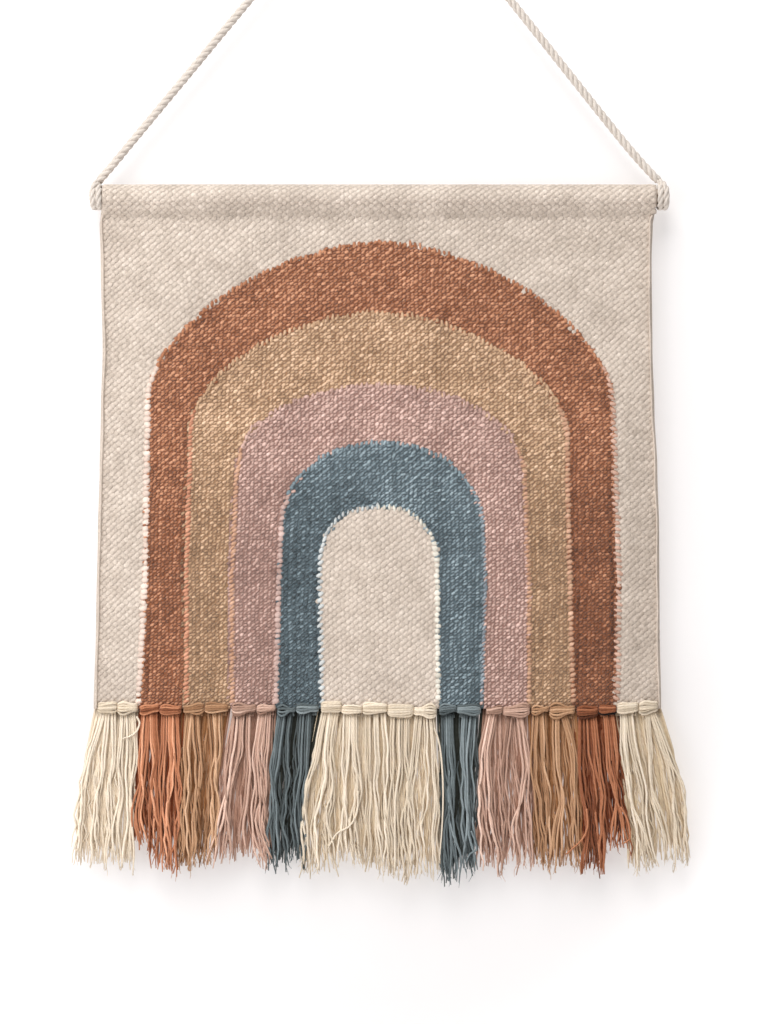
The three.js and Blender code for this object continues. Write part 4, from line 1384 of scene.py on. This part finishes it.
def yarns_in_locks(row, locks, radius, wander, random):
    """The locks in front: yarns side by side that follow one line, and change places on the way."""
    t = np.linspace(0, 1, 18)
    foot = HEM_Z - row["under"]
    root = foot + 1.5
    paths, tones = [], []
    for count, *columns in locks:
        tip = foot - lerp(row["short"], row["long"], random.uniform(0.4, 1))
        heights = [root, *(from_picture(0, line)[1] for line in LOCK_LINES), tip]
        line = smooth_line([(from_picture(column, 0)[0], 0, z) for column, z in zip(columns, heights)], 8)
        first = random.permutation(count) - (count - 1) / 2
        last = random.permutation(count) - (count - 1) / 2
        z = lerp(root, tip - random.normal(0, 3.5, (count, 1)), t)
        centre = np.interp(-z, -line[:, 2], line[:, 0])
        change = smooth(t, random.uniform(0.15, 0.4), random.uniform(0.6, 0.9))
        rank = lerp(first[:, None], last[:, None], change) + random.normal(0, 0.25, (count, 1))
        aside, ahead = yarn_waves(z, count, wander, t, random)
        sweep = random.uniform(0.6, 1.6)
        sweep = sweep * np.sin(2 * np.pi * z / random.uniform(60, 100) + random.uniform(0, ANY_PHASE))
        pitch = radius * lerp(1.5, 1.9, t) * lerp(1, 1.5, smooth(t, 0.7, 1))
        x = centre + pitch * rank + aside + sweep * smooth(t, 0.1, 0.4)
        before = random.uniform(0, 1, (count, 1))
        y = -2.4 + sway(x[:, :1], HEM_Z) - (0.6 + 1.6 * before) * smooth(t, 0, 0.12) + ahead
        paths.append(np.stack([x, y, z], axis=-1))
        tone = 0.5 + row["tone"] + random.normal(0, 0.15, (count, 1))
        # painted light and shade: yarns further in front are lighter, and a painted shadow darkens them just
        # under the head
        tones.append(tone + 0.3 * (before - 0.5) - 0.25 * (1 - smooth(t, 0, 0.07)))
    paths, tones = np.concatenate(paths), np.concatenate(tones)
    girth = radius * random.normal(1, 0.08, (len(paths), 1)) * lerp(1, 0.45, smooth(t, 0.85, 1))
    # their share of light, for the painted shade colour, rises with their tone
    return paths, girth, tones, np.clip(0.55 + 0.6 * tones - 0.3 * row["tone"], 0.5, 1)


def wisps(paths, random):
    """Thin fibres that stand off the ends of some yarns."""
    u = np.linspace(0, 1, 5)[None, :]
    ends = paths[random.integers(0, len(paths), WISPS)]
    start = lerp(ends[:, -4], ends[:, -1], random.uniform(0, 0.9, (WISPS, 1)))[:, None, :]
    long, off_side = random.uniform(3, 9, (WISPS, 1)), random.normal(0, 1.6, (WISPS, 1))
    bend = random.normal(0, 0.5, (WISPS, 1)) * np.sin(np.pi * u)
    shift = np.stack([off_side * u ** 1.3 + bend, random.normal(0, 1.5, (WISPS, 1)) * u, -long * u], axis=-1)
    return start + shift, WISP_RADIUS * lerp(1, 0.4, u)


def stray_yarn(places, radius, tone):
    """A single yarn that lies across the others, through places in the picture."""
    line = smooth_line([(x, -CLOTH - STRAY_PROUD, z) for x, z in (from_picture(*at) for at in places)], 6)
    line[:, 1] += sway(line[:, 0], HEM_Z)
    taper = lerp(0.85, 0.5, np.linspace(0, 1, len(line)) ** 3)
    return tubes(line[None], radius * taper[None], 5, (0, 1, 0), tone)


class HANGING_OT_tassels(Operator):
    """The tassels: a head looped over the hem, and its hanging yarns"""
    bl_idname = "hanging.tassels"
    bl_label = "Tassels"

    def execute(self, context):
        settings = context.scene.hanging_tassels
        colours = context.scene.hanging_colours
        radius, wander = settings.yarn_diameter / MM / 2, settings.wander / MM
        for index, row in enumerate(TASSELS):
            random = np.random.default_rng(SEED + 100 + index)
            tall, low = row["over"] + row["under"], HEM_Z - row["under"]
            heap = Heap()
            heap.add(*head_yarns(row, tall, low, random))
            heap.add(*head_yarns_behind(row, low, random))
            for paths, girth, tone, lit_share in (
                yarns_behind(row, settings.yarns_behind, radius, wander, random),
                yarns_in_locks(row, LOCKS[index], radius, wander, random),
            ):
                heap.add(*tubes(paths, girth, 5, (0, 1, 0), tone, lit_share=lit_share))
            fibres, girth = wisps(paths, random)
            # the wisps take a little of the painted shade colour
            heap.add(*tubes(fibres, girth, 3, (0, 1, 0), 0.5 + row["tone"], lit_share=0.9))
            for tassel, *places in STRAYS:
                if tassel == index + 1:
                    heap.add(*stray_yarn(places, radius, 0.6 + row["tone"]))
            yarn = row["yarn"]
            material = finish_material(
                "fringe_" + yarn, "plied_yarn", getattr(colours, "fringe_" + yarn), sheen=0.1, bump=0.0002,
                Shade=getattr(colours, "shade_" + yarn), Heather=0.4 if yarn == "cream" else 0.85,
                Plies=2.0, Groove=0.1,
            )
            number = str(index + 1).zfill(2)
            piece = heap.piece("fringe_" + number, material)
            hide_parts("tassel_" + number)
        return {"FINISHED"}


class HANGING_OT_declare(Operator):
    """A step that does nothing."""
    bl_idname = "hanging.declare"
    bl_label = "Declare Cloth"

    def execute(self, context):
        return {"FINISHED"}


OPERATORS = (
    HANGING_OT_stage, HANGING_OT_cord, HANGING_OT_hitches, HANGING_OT_rod, HANGING_OT_cloth,
    HANGING_OT_weave, HANGING_OT_joins, HANGING_OT_tassels, HANGING_OT_declare,
)
SETTINGS = {
    "hanging_weave": WeaveSettings,
    "hanging_cord": CordSettings,
    "hanging_tassels": TasselSettings,
    "hanging_colours": YarnColours,
    "hanging_stage": StageSettings,
}


class HANGING_PT_panel(Panel):
    """Settings and steps of the wall hanging"""
    bl_idname = "HANGING_PT_panel"
    bl_label = "Wall Hanging"
    bl_space_type = "VIEW_3D"
    bl_region_type = "UI"
    bl_category = "Wall Hanging"

    def draw(self, context):
        for key, group in SETTINGS.items():
            box = self.layout.box()
            box.label(text=group.__doc__)
            for name in group.__annotations__:
                box.prop(getattr(context.scene, key), name)
        for operator in OPERATORS:
            self.layout.operator(operator.bl_idname)


def register():
    for cls in (*SETTINGS.values(), *OPERATORS, HANGING_PT_panel):
        bpy.utils.register_class(cls)
    for key, group in SETTINGS.items():
        setattr(bpy.types.Scene, key, PointerProperty(type=group))


def unregister():
    for key in SETTINGS:
        delattr(bpy.types.Scene, key)
    for cls in (HANGING_PT_panel, *reversed(OPERATORS), *SETTINGS.values()):
        bpy.utils.unregister_class(cls)


def main():
    register()
    for operator in OPERATORS:
        group, name = operator.bl_idname.split(".")
        getattr(getattr(bpy.ops, group), name)()


if __name__ == "__main__":
    main()
